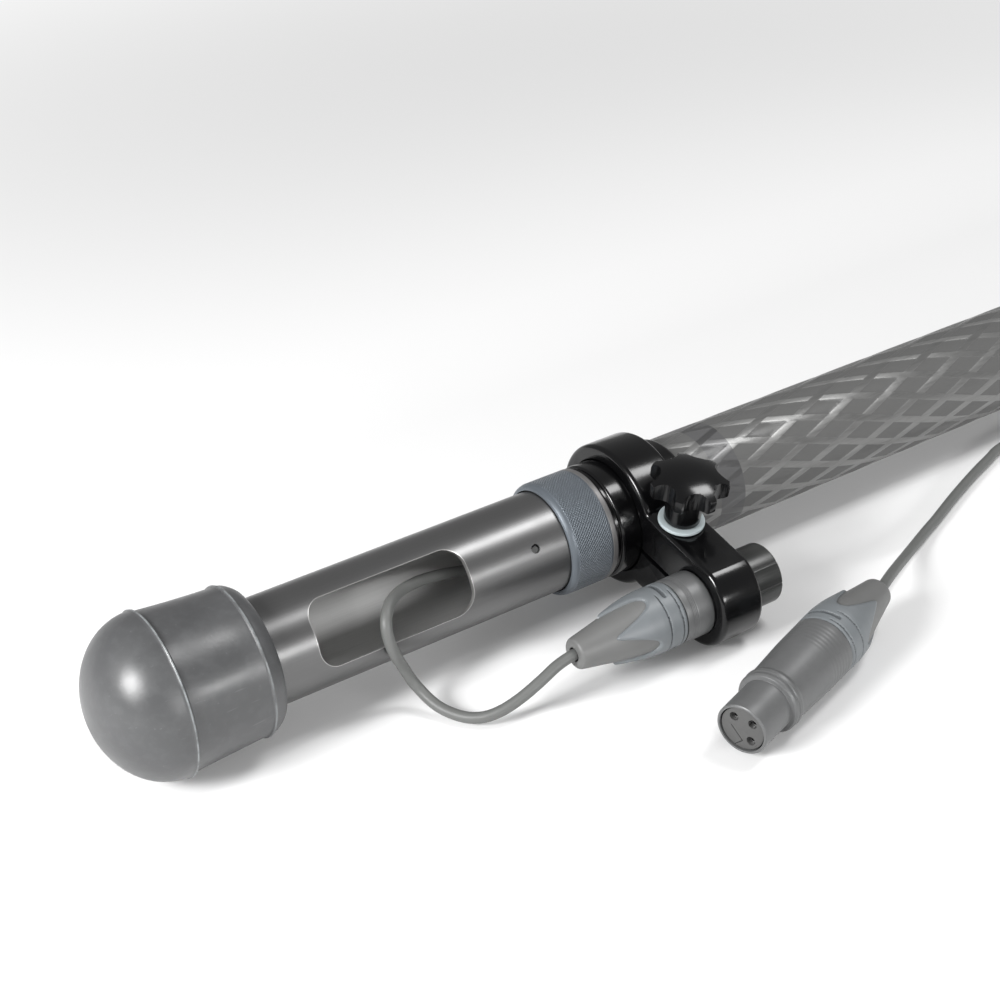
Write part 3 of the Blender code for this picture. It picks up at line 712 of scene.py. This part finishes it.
def cable_mesh(name, points, radius, sides=20):
    """A round cable along a line, with rings that don't twist."""
    mesh = bpy.data.meshes.new(name)
    verts, faces = [], []
    side = None
    for i, point in enumerate(points):
        before = points[max(0, i - 1)]
        after = points[min(len(points) - 1, i + 1)]
        along = (after - before).normalized()
        side = side or along.orthogonal()
        side = (side - side.dot(along) * along).normalized()
        other = along.cross(side)
        for k in range(sides):
            a = 2 * pi * k / sides
            verts.append(point + (side * cos(a) + other * sin(a)) * radius * MM)
    for i in range(len(points) - 1):
        for k in range(sides):
            n = (k + 1) % sides
            faces.append((i * sides + k, i * sides + n,
                          (i + 1) * sides + n, (i + 1) * sides + k))
    faces.append(tuple(reversed(range(sides))))
    faces.append(tuple(range(len(verts) - sides, len(verts))))
    mesh.from_pydata(verts, [], faces)
    return tidy(mesh)


def jumper():
    path = spaced(smooth_route(JUMPER_ROUTE), 1.5 * MM)
    made = add("jumper_lead", cable_mesh("jumper_lead", path, CABLE_RADIUS),
               Matrix.Identity(4), CABLE, None, "jumper_cable")
    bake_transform(made)


def microphone_lead():
    inside = [PLUG_FRAME @ Vector((0, 0, z * MM)) for z in (30, 42, 54, 66)]
    path = spaced(inside + smooth_route(LEAD_ROUTE), 3 * MM)
    path.reverse()
    made = add("microphone_lead", cable_mesh("microphone_lead", path, CABLE_RADIUS),
               Matrix.Identity(4), CABLE, "tube_5", "mic_lead")


# ---- the base

def cap():
    seam, radius = 20.0, 24.15
    dome = [
        (seam * (1 - sin(a)), radius * cos(a))
        for a in (radians(90 - 90 * k / 30) for k in range(1, 30))
    ]
    body = [
        (19.3, 24.14), (19.75, 24.3), (20.05, 24.55), (20.35, 24.5), (20.6, 24.1),
        (20.9, 23.72), (21.6, 23.62), (24.5, 23.35), (31, 22.85), (38, 22.42),
        (43.5, 22.15), (43.9, 22.2), (44.25, 22.6), (44.6, 22.68), (44.95, 22.45),
        (45.4, 22.3), (46.4, 21.95), (47.4, 21.4), (48.3, 20.8), (49.0, 20.15),
        (49.4, 19.4), (49.5, 18.7),
    ]
    inner = [(49.4, 16.6), (49.0, 16.32), (30.0, 16.32), (22.3, 16.32), (22.3, 0)]
    profile = [(0, 0)] + dome + body + inner

    def warp(s, r, a):
        if r < 17:
            return r
        wobble = noise.noise((cos(a) * 1.3, sin(a) * 1.3, s * 0.07)) * 0.10
        if s > 46:
            wobble += noise.noise((cos(a) * 4, sin(a) * 4, s * 0.5)) * 0.16
        seam_edge = max(0.0, 1 - abs(s - 20.2) / 0.7)
        wobble += seam_edge * noise.noise((cos(a) * 9, sin(a) * 9, 3.0)) * 0.12
        return min(r + wobble, 24.6)

    mesh = revolve("rubber_cap", profile, 192, False, warp)
    add("rubber_cap", mesh, POLE_FRAME, RUBBER, "cap", "end_cap")


EDGE_HIGHLIGHT_SLOT, BORE_SLOT = 1, 2


def slotted_tube():
    outer, inner = 16.0, 14.4
    profile = [(22.5, outer), (158, outer), (158, inner), (22.5, inner)]
    made = add("slotted_tube", revolve("slotted_tube", profile, 192, True),
               POLE_FRAME, [SLOTTED, EDGE_HIGHLIGHT, BORE], None, "base_tube")
    for face in made.data.polygons:
        if hypot(face.center.x, face.center.y) < (outer + inner) / 2 * MM:
            face.material_index = BORE_SLOT
    slot = box_mesh("slot_carver", (SLOT_LENGTH, SLOT_WIDTH, 24.0), SLOT_CORNER)
    hole = rod_mesh("hole_carver", 1.45, -4, 4, 32)
    carve(made, (slot, at_angle(SLOT_STATION, SLOT_ANGLE, outer)),
          (hole, at_angle(136.5, 149.5, outer)))
    # The bevel takes the pale edge finish, a painted highlight along the slot.
    bevel(made, 0.3, 2, 55, EDGE_HIGHLIGHT_SLOT)
    round_off(made.data, outer, inner)
    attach(made, "pole_base")


def union():
    outer = [
        (147.4, 16.6), (147.7, 17.2), (148.5, 17.8), (149.6, 18.1), (161.7, 18.1),
        (161.9, 17.95), (162.1, 18.1), (163.6, 18.1), (164.0, 17.7),
    ]
    inner = [(147.4, 16.3), (164.0, 16.3)]
    ring("knurled_ring", outer, inner, POLE_FRAME, KNURL, "ring", "union_ring", sides=256,
         edge=0.25)


def collar():
    outer = [
        (164.3, 17.2), (165.5, 17.2), (165.55, 17.7), (166.1, 18.2), (193.6, 18.2),
        (194.5, 17.6),
    ]
    inner = [(164.3, 15.8), (167.8, 15.8), (167.8, 17.4), (194.5, 17.4)]
    ring("bearing_collar", outer, inner, POLE_FRAME, BLACK, "pole_base", "base_collar",
         edge=0.4)


# ---- the clamp

def arc(middle, radius, start, end, steps):
    angles = [start + (end - start) * k / steps for k in range(steps + 1)]
    return [(middle[0] + radius * cos(a), middle[1] + radius * sin(a)) for a in angles]


CLAMP_BIG, CLAMP_SMALL, CLAMP_WEB, CLAMP_BLEND = 22.8, 14.3, 13.9, 1.6
CLAMP_HALF = 7.5
CLAMP_BORE = 18.5
EYE_BORE = 9.8
STUD_BORE = 3.0
INSERT_BORE = 4.8


def clamp_outline():
    big, small, web, blend = CLAMP_BIG, CLAMP_SMALL, CLAMP_WEB, CLAMP_BLEND
    height, reach = web + blend, big + blend
    along = sqrt(reach**2 - height**2)
    meet = atan2(height, along)
    shoulder = asin(web / small)
    outline = arc((0, 0), big, meet, 2 * pi - meet, 120)
    outline += arc((along, -height), blend, pi - meet, pi / 2, 12)[1:]
    outline += arc((ARM_LENGTH, 0), small, -shoulder, shoulder, 64)
    outline += arc((along, height), blend, -pi / 2, meet - pi, 12)
    return outline[:-1]


def clamp():
    outline = clamp_outline()
    count = len(outline)
    ends = (-CLAMP_HALF, CLAMP_HALF)
    points = [(x * MM, y * MM, z * MM) for z in ends for x, y in outline]
    faces = [tuple(reversed(range(count))), tuple(range(count, 2 * count))]
    faces += [(i, (i + 1) % count, count + (i + 1) % count, count + i)
              for i in range(count)]
    mesh = bpy.data.meshes.new("swivel_clamp")
    mesh.from_pydata(points, [], faces)
    made = add("swivel_clamp", mesh, CLAMP_FRAME, BLACK, None, "clamp_body")
    bevel(made, 2.6, 7, 50)
    eye = CLAMP_FRAME @ Matrix.Translation((ARM_LENGTH * MM, 0, 0))
    slit = CLAMP_FRAME @ Matrix.Translation((26.05 * MM, 0, 0))
    carve(
        made,
        (rod_mesh("pole_carver", CLAMP_BORE, -12, 12, 160), CLAMP_FRAME),
        (rod_mesh("eye_carver", EYE_BORE, -12, 12, 128), eye),
        (box_mesh("slit_carver", (28.1, 1.6, 30.0), 0), slit),
        (rod_mesh("stud_carver", STUD_BORE, -7, 20, 48), KNOB_FRAME),
        (rod_mesh("insert_carver", INSERT_BORE, -20, -6, 48), KNOB_FRAME),
    )
    bevel(made, 0.3, 2, 60)
    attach(made, "clamp")


KNOB_RADIUS = 12.1
KNOB_HUB = 5.6
KNOB_LOBES = 7
KNOB_TURN = 11.5
SCALLOP_RADIUS = 4.7
SCALLOP_REACH = 13.3


def knob():
    """A domed head with round scallops between its lobes, on a hub."""
    base, under, edge, top = 15.6, 26.1, 30.8, 33.8
    head = [(under, 5.0), (under, 11.2), (under + 0.7, 12.0), (under + 1.2, KNOB_RADIUS)]
    head += [(edge - 1.0, 12.15)]
    for k in range(1, 15):
        r = KNOB_RADIUS * (1 - (k / 14) ** 1.6)
        head.append((top - (top - edge) * (r / KNOB_RADIUS) ** 2.2, r))
    profile = [(base, 0), (base, KNOB_HUB), (base + 9.0, KNOB_HUB), (base + 9.7, 5.9)]
    profile += head
    outline = soften(profile[:-1], 0.5, False) + [(top, 0)]
    mesh = revolve("clamp_knob", outline, 168, False)
    made = add("clamp_knob", mesh, KNOB_FRAME, BLACK, None, "star_knob")
    cuts = []
    for k in range(KNOB_LOBES):
        a = radians(KNOB_TURN + (k + 0.5) * 360 / KNOB_LOBES)
        side = Vector((SCALLOP_REACH * cos(a) * MM, SCALLOP_REACH * sin(a) * MM, 0))
        scallop = rod_mesh("scallop", SCALLOP_RADIUS, under - 1, top + 1, 96)
        cuts.append((scallop, KNOB_FRAME @ Matrix.Translation(side)))
    carve(made, *cuts)
    bevel(made, 0.55, 4, 30)
    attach(made, "knob")
    ring("knob_washer", [(14.2, 7.1), (15.3, 7.1)], [(14.2, 5.0), (15.3, 5.0)],
         KNOB_FRAME, WASHER, "clamp", "clamp_washer", sides=96, edge=0.25)


# ---- connectors

GROOVES = (299.2, 341.7, 119.2, 161.7)


def male_shell():
    outer = [(186.5, 9.5), (198.85, 9.5), (199.25, 9.1)]
    inner = [(186.5, 8.2), (199.25, 8.2)]

    def grooves(s, r, a):
        if r < 9:
            return r
        here = a * 180 / pi
        depth = 0.0
        for at in GROOVES:
            gap = abs((here - at + 180) % 360 - 180)
            depth = max(depth, 0.22 * max(0.0, 1 - gap / 2.2))
        return r - depth

    ring("socket_front", outer, inner, MALE_FRAME, BLACK_SATIN, "clamp", "xlr_m_shell",
         sides=360, edge=0.35, warp=grooves)
    body = [
        (152.55, 8.6), (162.75, 8.6), (162.75, 9.85), (163.6, 9.98), (164.8, 10.0),
        (165.0, 9.85), (165.25, 10.0), (165.45, 9.85), (165.7, 10.0), (165.95, 9.87),
        (166.2, 10.0), (166.5, 9.88), (166.8, 10.0), (172.15, 10.0), (172.15, 9.5),
        (186.4, 9.5),
    ]
    bore = [(152.55, 7.4), (174.55, 7.4), (174.55, 8.2), (186.4, 8.2)]
    ring("socket_body", body, bore, MALE_FRAME, SHELL, "clamp", "xlr_m_shell", edge=0.1)


BOOT_TABLE = (
    (0, 9.1), (3, 9.15), (8, 9.15), (12, 8.8), (15, 8.3), (18, 7.7), (21, 7.1), (24, 6.5),
    (27, 5.95), (30, 5.4), (32, 5.05),
)


def boot_core(name, front, back, facing, matrix, body, *stands_for):
    """The rubber sleeve under the ring and its tongues."""
    length = abs(front - back)
    shape = list(BOOT_TABLE) + [
        (length - 0.75, 4.75), (length - 0.25, 4.35), (length, 3.6),
    ]
    cavity = [(0.0, 8.75), (12.6, 8.75), (20.5, 5.9), (length - 4.0, 2.3), (length, 2.1)]
    outer = [(front - facing * x, r) for x, r in shape]
    inner = [(front - facing * x, r) for x, r in cavity]
    if facing > 0:
        outer.reverse()
        inner.reverse()
    return ring(name, outer, inner, matrix, BOOT, body, *stands_for, sides=128, edge=0.3)


def boot_radius(x):
    """Radius of the sleeve at a distance behind the ring's front."""
    for (x0, r0), (x1, r1) in zip(BOOT_TABLE, BOOT_TABLE[1:]):
        if x <= x1:
            return r0 + (r1 - r0) * (x - x0) / (x1 - x0)
    return BOOT_TABLE[-1][1]


def tongue_half_width(x):
    """Half the angle that a tongue covers, in degrees."""
    table = ((9.8, 45.0), (10.2, 38.5), (10.9, 33.5), (12.5, 28.5), (14.9, 22.5),
             (18.9, 14.0), (21.2, 8.8), (22.4, 5.0), (23.0, 0.0))
    if x <= table[0][0]:
        return 46.0
    for (x0, w0), (x1, w1) in zip(table, table[1:]):
        if x <= x1:
            return w0 + (w1 - w0) * (x - x0) / (x1 - x0)
    return -1.0


GROOVE_SHADE_SLOT = 1
TONGUE_THICKNESS = 0.85
TONGUE_REACH = 23.0
TONGUE_ROUNDING = 0.9


def boot_tongues(name, front, facing, turn, letters, matrix, body):
    """The hard ring with four pointed tongues that lies over the rubber sleeve. Two
    grooves bound its lettered sides, whose middle angle is given, and one runs between."""
    sides = 360
    rows = 72
    reach = []
    for k in range(sides):
        gap = abs(((360 * k / sides - turn) + 45) % 90 - 45)
        x = TONGUE_REACH
        while x > 9.8 and tongue_half_width(x) < gap:
            x -= 0.1
        reach.append(x)

    def edge_gap(k, x):
        """Distance in millimetres to the tongue's outline."""
        best = 9.0
        for d in range(-22, 23):
            j = (k + d) % sides
            side = radians(360 / sides * d) * boot_radius(x)
            along = max(0.0, reach[j] - x)
            best = min(best, hypot(side, along))
        return best

    points, outer_rows = [], []
    for i in range(rows + 1):
        row = []
        for k in range(sides):
            x = reach[k] * i / rows
            base = boot_radius(x)
            lift = min(1.0, edge_gap(k, x) / TONGUE_ROUNDING)
            rise = TONGUE_THICKNESS * sqrt(1 - (1 - lift) ** 2)
            rise -= 0.5 * band_groove(x, 360 * k / sides - letters)
            if x < 0.5:
                rise -= 0.25 * (1 - x / 0.5)
            a = 2 * pi * k / sides
            row.append(len(points))
            r = base + max(0.0, rise)
            points.append((r * cos(a), r * sin(a), front - facing * x))
        outer_rows.append(row)
    inner_rows = []
    for i in (rows, 0):
        row = []
        for k in range(sides):
            x = reach[k] * i / rows
            a = 2 * pi * k / sides
            r = boot_radius(x) - 0.12
            row.append(len(points))
            points.append((r * cos(a), r * sin(a), front - facing * x))
        inner_rows.append(row)
    loops = outer_rows + inner_rows
    faces = []
    for low, high in zip(loops, loops[1:] + loops[:1]):
        for k in range(sides):
            n = (k + 1) % sides
            faces.append((low[k], low[n], high[n], high[k]))
    mesh = bpy.data.meshes.new(name)
    mesh.from_pydata([Vector(p) * MM for p in points], [], faces)
    made = add(name, tidy(mesh, 60), matrix, [TONGUES, GROOVE_SHADE], body)
    # Faces deep in the grooves take the darker finish: painted shade in the grooves.
    for face in mesh.polygons:
        middle = face.center / MM
        turn = atan2(middle.y, middle.x) * 180 / pi - letters
        if band_groove(facing * (front - middle.z), turn) > 0.45:
            face.material_index = GROOVE_SHADE_SLOT
    return made


def band_groove(x, turn):
    """1 in the grooves round the ring, 0 elsewhere; turn is from the lettered middle."""
    off = abs((turn + 90) % 180 - 90)
    pair = max(max(0.0, 1 - abs(x - at) / 0.3) for at in (1.4, 6.0))
    pair *= min(1.0, max(0.0, (66 - off) / 3))
    past = max(0.0, 55 - off) * 0.16
    single = min(1.0, max(0.0, 1 - (hypot(x - 3.7, past) - 0.5) / 0.3))
    return max(pair, single)


SOCKET_BOOT = (162.45, 128.45)
PLUG_BOOT = (45.3, 79.6)
CONTACT_RING = 4.1
CONTACT_BORE = 1.35


def male_connector():
    male_shell()
    front, back = SOCKET_BOOT
    boot_core("socket_boot", front, back, 1, MALE_FRAME, "clamp", "xlr_m_boot")
    boot_tongues("socket_boot_ring", front, 1, -45.8, -29.8, MALE_FRAME, "clamp")


def plug():
    outer = [
        (0.0, 7.35), (0.3, 7.75), (6.0, 7.8), (13.4, 7.8), (13.6, 9.0), (14.3, 9.45),
        (15.2, 9.4), (15.5, 9.15), (15.9, 9.45), (16.9, 9.55), (17.5, 9.3), (18.2, 9.1),
        (21.0, 9.15), (27.0, 9.45), (32.0, 9.7), (33.6, 9.75),
    ]
    for k in range(1, 31):
        s = 33.6 + k * 0.32
        run = s - 33.6
        outer.append((s, 9.76 + 0.014 * run + 0.026 * cos(2 * pi * run / 1.6)))
    outer += [(43.8, 9.88), (45.0, 9.9), (45.0, 8.6), (57.0, 8.6)]
    inner = [(0.0, 6.9), (24.0, 6.9), (24.0, 7.6), (57.0, 7.6)]
    shell = ring("plug_sleeve", outer, inner, PLUG_FRAME, SHELL, None, "plug_shell",
                 sides=160, edge=0.15)
    window = PLUG_FRAME @ Matrix.Translation((8.4 * MM, 0, 19 * MM))
    carve(shell, (box_mesh("window_carver", (6.0, 4.6, 13.0), 0), window))
    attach(shell, "tube_5")
    face = solid("plug_face", [(0.6, 6.6), (22.0, 6.6)], PLUG_FRAME, INSERT, None,
                 "plug_insert", edge=0.2)
    cuts = [(box_mesh("latch_carver", (4.0, 5.0, 14.0), 0),
             PLUG_FRAME @ Matrix.Translation((6.6 * MM, 0, 19 * MM)))]
    for turn in (90, 180, 270):
        side = Vector((cos(radians(turn)), sin(radians(turn)), 0)) * CONTACT_RING * MM
        at = PLUG_FRAME @ Matrix.Translation(side)
        cuts.append((rod_mesh("contact_carver", CONTACT_BORE, -1, 16, 32), at))
    # The hairline of the latch's seat in the face
    cuts.append((box_mesh("line_carver", (0.22, 5.6, 0.8), 0),
                 PLUG_FRAME @ Matrix.Translation((2.6 * MM, -0.4 * MM, 0.7 * MM))))
    cuts.append((box_mesh("line_carver", (4.0, 0.22, 0.8), 0),
                 PLUG_FRAME @ Matrix.Translation((4.5 * MM, -3.1 * MM, 0.7 * MM))))
    carve(face, *cuts)
    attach(face, "tube_5")
    front, back = PLUG_BOOT
    core = boot_core("plug_sleeve_boot", front, back, -1, PLUG_FRAME, "tube_5",
                     "plug_boot")
    tongues = boot_tongues("plug_boot_ring", front, -1, 177, 203, PLUG_FRAME, "tube_5")
    return [shell, face, core, tongues]


# ---- the tubes

TUBE_RADII = (17.1, 14.9, 12.7, 10.5, 8.3)
TUBE_WALL = 1.3
TUBE_ENDS = (650.0, 687.0, 721.0, 752.0, 777.0)
TUBE_STARTS = (168.1, 205.0, 217.0, 229.0, 241.0)
LOCK_BEHIND = (16.0, 15.0, 14.0, 13.0)
LOCK_AHEAD = (18.0, 16.0, 14.0, 13.0)
LOCK_RADII = (23.6, 20.6, 17.9, 15.4)
BODIES = ("pole_base", "tube_2", "tube_3", "tube_4", "tube_5")


def tow_lift(s, a, radius):
    """1 on the tows wound round the tube, 0 between them."""
    pitch = 2 * pi * radius / CARBON_STARTS
    lift = 0.0
    for sign, shift in zip((-1, 1), CARBON_PHASES):
        turns = (a * radius + sign * CARBON_SLOPE * s) / pitch + shift
        edge = (abs((turns + 0.5) % 1.0 - 0.5) - 0.345) / 0.025
        lift = max(lift, min(1.0, max(0.0, edge)))
    return lift * lift * (3 - 2 * lift)


def tubes():
    for index, radius in enumerate(TUBE_RADII):
        bore = radius - TUBE_WALL
        start, end = TUBE_STARTS[index], TUBE_ENDS[index]
        band = (205.0, 214.6) if index == 0 else None
        finish = finish_carbon(f"carbon_{index + 1}", radius, band)
        outer, warp = [(start, radius), (end, radius)], None
        if index == 0:
            low, high = 196.0, end - 17.0
            steps = round((high - low) / 0.8)
            middle = [(low + (high - low) * k / steps, radius) for k in range(steps + 1)]
            outer = [outer[0]] + middle + [outer[1]]

            def warp(s, r, a, radius=radius, low=low, high=high):
                if r < radius - 0.1 or s < low or s > high:
                    return r
                if a > pi:
                    a -= 2 * pi
                return r - 0.05 + 0.12 * tow_lift(s, a, radius)

        ring(f"carbon_tube_{index + 1}", outer, [(start, bore), (end, bore)], POLE_FRAME,
             finish, BODIES[index], f"section_{index + 1}", sides=240, edge=0.2, warp=warp)


def locks():
    for index, radius in enumerate(LOCK_RADII):
        end_of_tube = TUBE_ENDS[index]
        start = end_of_tube - LOCK_BEHIND[index]
        end = end_of_tube + LOCK_AHEAD[index]
        bore = TUBE_RADII[index] + 0.3
        lip = TUBE_RADII[index + 1] + 0.6
        outer = [
            (start, bore + 1.0), (start + 0.6, radius - 1.6), (start + 2.4, radius - 0.5),
            (start + 4.2, radius - 0.35), (start + 4.8, radius - 0.9),
            (start + 5.4, radius - 0.1),
        ]
        steps = 20
        low, high = start + 5.4, end - 6.0
        outer += [(low + (high - low) * k / steps, radius) for k in range(1, steps)]
        outer += [
            (end - 6.0, radius - 0.1), (end - 5.4, radius - 0.9), (end - 4.8, radius - 0.6),
            (end - 1.6, radius - 1.1), (end - 0.5, radius - 1.9), (end, lip + 0.9),
        ]
        inner = [(start, bore), (end - 3, bore), (end - 3, lip), (end, lip)]
        ribs = round(radius * 1.7)

        def ribbed(s, r, a, low=low, high=high, radius=radius, ribs=ribs):
            if r < radius - 0.05 or s < low or s > high:
                return r
            wave = abs(sin(a * ribs / 2))
            return r - 0.75 * (1 - wave) ** 1.6

        ring(f"twist_lock_{index + 1}", outer, inner, POLE_FRAME, GRIP, f"lock_{index + 1}",
             f"lock_collar_{index + 1}", sides=360, edge=0.3, warp=ribbed)


def tip():
    start, end = 777.3, 796.0
    profile = [
        (start - 14, 6.7), (start, 6.7), (start, 8.7), (start + 0.6, 9.2),
        (start + 3.4, 9.2), (start + 3.7, 8.9), (start + 4.3, 8.9), (start + 4.6, 9.2),
        (end - 1.0, 9.2), (end, 8.3),
    ]
    bore = [(start - 14, 5.4), (end - 4, 5.4)]
    outline = soften(profile + [(end, 0)], 0.3, False)
    mesh = revolve("tip_socket", [(end - 4, 0)] + bore[::-1] + outline, 128, False)
    made = add("tip_socket", mesh, POLE_FRAME, ALUMINIUM, None, "tip_fitting")
    exit_frame = at_angle(788, 207)
    carve(made, (rod_mesh("exit_carver", 3.4, 2, 14, 48), exit_frame),
          (rod_mesh("stud_carver", 3.3, end - 6, end + 2, 48), POLE_FRAME))
    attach(made, "tube_5")
    ring("lead_exit", [(6.2, 3.1), (9.4, 3.1), (9.4, 4.0), (10.4, 4.0), (13.6, 2.9)],
         [(6.2, 2.3), (13.6, 1.95)], exit_frame, BOOT, "tube_5", "lead_gland", sides=64,
         edge=0.25)
    thread = [(end - 3.4, 3.0), (end + 0.3, 3.0), (end + 0.3, 4.1)]
    pitch = 1.5875
    s = end + 0.7
    while s < 806.6:
        thread += [(s, 4.15), (s + pitch / 2, 4.74)]
        s += pitch
    thread += [(s, 4.15), (807.4, 4.1), (808.0, 3.6)]
    solid("thread_stud", thread, POLE_FRAME, STEEL, "tube_5", "tip_stud", sides=64,
          edge=0.08)
    ring("tip_seal", [(end + 0.3, 8.6), (end + 1.8, 8.6)],
         [(end + 0.3, 5.1), (end + 1.8, 5.1)], POLE_FRAME, GRIP, "tube_5", "tip_washer",
         sides=96, edge=0.3)
    low, high = end + 2.1, end + 5.9
    ring("tip_knurled_ring", [(low, 9.3), (low + 0.5, 9.8), (high - 0.5, 9.8), (high, 9.3)],
         [(low, 5.1), (high, 5.1)], POLE_FRAME,
         finish_knurl("tip_knurl", 9.8, low + 0.5, high - 0.5), "tip_ring",
         "tip_lock_ring", sides=192, edge=0.15)


# ---- carried-over nodes

def repaint(finish, *nodes):
    for name in nodes:
        node = frame["nodes"][name]
        if not node.material_slots:
            node.data.materials.append(finish.material)
        for slot in node.material_slots:
            slot.material = finish.material


def carried_over():
    repaint(PLASTIC, "bulkhead", "xlr_m_insert", "xlr_m_chuck", "plug_chuck")
    repaint(PLASTIC, *[f"glide_bush_{k}" for k in (2, 3, 4, 5)])
    repaint(PLASTIC, *[f"collet_{k}" for k in (1, 2, 3, 4)])
    repaint(BOOT, "cable_gland")
    repaint(CABLE, "coiled_cable")
    repaint(ALUMINIUM, "union_bush")
    repaint(BLACK_SATIN, "bulkhead_screw")
    repaint(STEEL, "knob_stud", "plug_latch")
    repaint(STEEL, *[f"xlr_m_pin_{k}" for k in (1, 2, 3)])
    repaint(STEEL, *[f"plug_contact_{k}" for k in (1, 2, 3)])
    repaint(BRASS, "clamp_insert")


# ---- stage

CAMERA_LENS = 64.8
CAMERA_SPOT = Vector((START - 0.11393, -0.37419, 0.30831))
CAMERA_RIGHT = Vector((0.82710813, -0.55968502, -0.05142783))
CAMERA_UP = Vector((0.31533497, 0.38636024, 0.86676965))
FLOOR_HALF = 6.0
FLOOR_DROP = 0.0004
WORLD_LIGHT = 0.3


def camera():
    data = bpy.data.cameras.new("camera")
    data.lens = CAMERA_LENS
    data.sensor_width = 36.0
    data.clip_end = 20
    made = bpy.data.objects.new("camera", data)
    axes = Matrix((CAMERA_RIGHT, CAMERA_UP, CAMERA_RIGHT.cross(CAMERA_UP)))
    made.matrix_world = Matrix.Translation(CAMERA_SPOT) @ axes.transposed().to_4x4()
    bpy.context.scene.collection.objects.link(made)
    bpy.context.scene.camera = made


def floor():
    """A pale floor that glows a little, more so far from the pole."""
    mesh = bpy.data.meshes.new("floor")
    signs = ((-1, -1), (1, -1), (1, 1), (-1, 1))
    corners = [(x * FLOOR_HALF, y * FLOOR_HALF, 0) for x, y in signs]
    mesh.from_pydata(corners, [], [(0, 1, 2, 3)])
    made = bpy.data.objects.new("floor", mesh)
    made.location.z = -FLOOR_DROP
    paint = Finish("floor_paint", (0.8, 0.8, 0.8), 0.9)
    x, y, _ = paint.split()
    away = paint.distance(x, y)
    glow = paint.times(paint.smooth(away, 350, 1300), 0.6)
    paint.set("Emission Color", (1, 1, 1, 1))
    paint.link(paint.plus(glow, 0.08), paint.shader.inputs["Emission Strength"])
    mesh.materials.append(paint.material)
    bpy.context.scene.collection.objects.link(made)


def area_light(name, direction, distance, length, height, watts, offset=0.0):
    """A softbox seen from the base in a direction, its long side along the pole."""
    data = bpy.data.lights.new(name, "AREA")
    data.shape = "RECTANGLE"
    data.size = length
    data.size_y = height
    data.energy = watts
    made = bpy.data.objects.new(name, data)
    out = Vector(direction).normalized()
    aim = Vector((START + 0.1, POLE_AXIS.y, POLE_AXIS.z))
    made.matrix_world = basis(aim + out * distance + POLE * offset, out, POLE)
    bpy.context.scene.collection.objects.link(made)


def lights():
    area_light("left_softbox", (-0.84, -0.12, 0.5), distance=0.8, length=0.27,
               height=0.27, watts=9.0)
    area_light("top_softbox", (0, -0.2, 0.98), distance=0.92, length=0.46, height=0.24,
               watts=5.2, offset=0.57)
    area_light("front_softbox", (0, -0.962, 0.272), distance=1.1, length=0.8,
               height=0.12, watts=5.6, offset=0.2)
    world = bpy.data.worlds.new("studio")
    world.use_nodes = True
    background = world.node_tree.nodes["Background"]
    background.inputs["Color"].default_value = (1, 1, 1, 1)
    background.inputs["Strength"].default_value = WORLD_LIGHT
    bpy.context.scene.world = world
    bpy.context.scene.view_settings.view_transform = "Standard"


camera()
lights()
floor()
jumper()
plug_pieces = plug()
microphone_lead()
cap()
slotted_tube()
union()
collar()
clamp()
knob()
male_connector()
tubes()
locks()
tip()
carried_over()
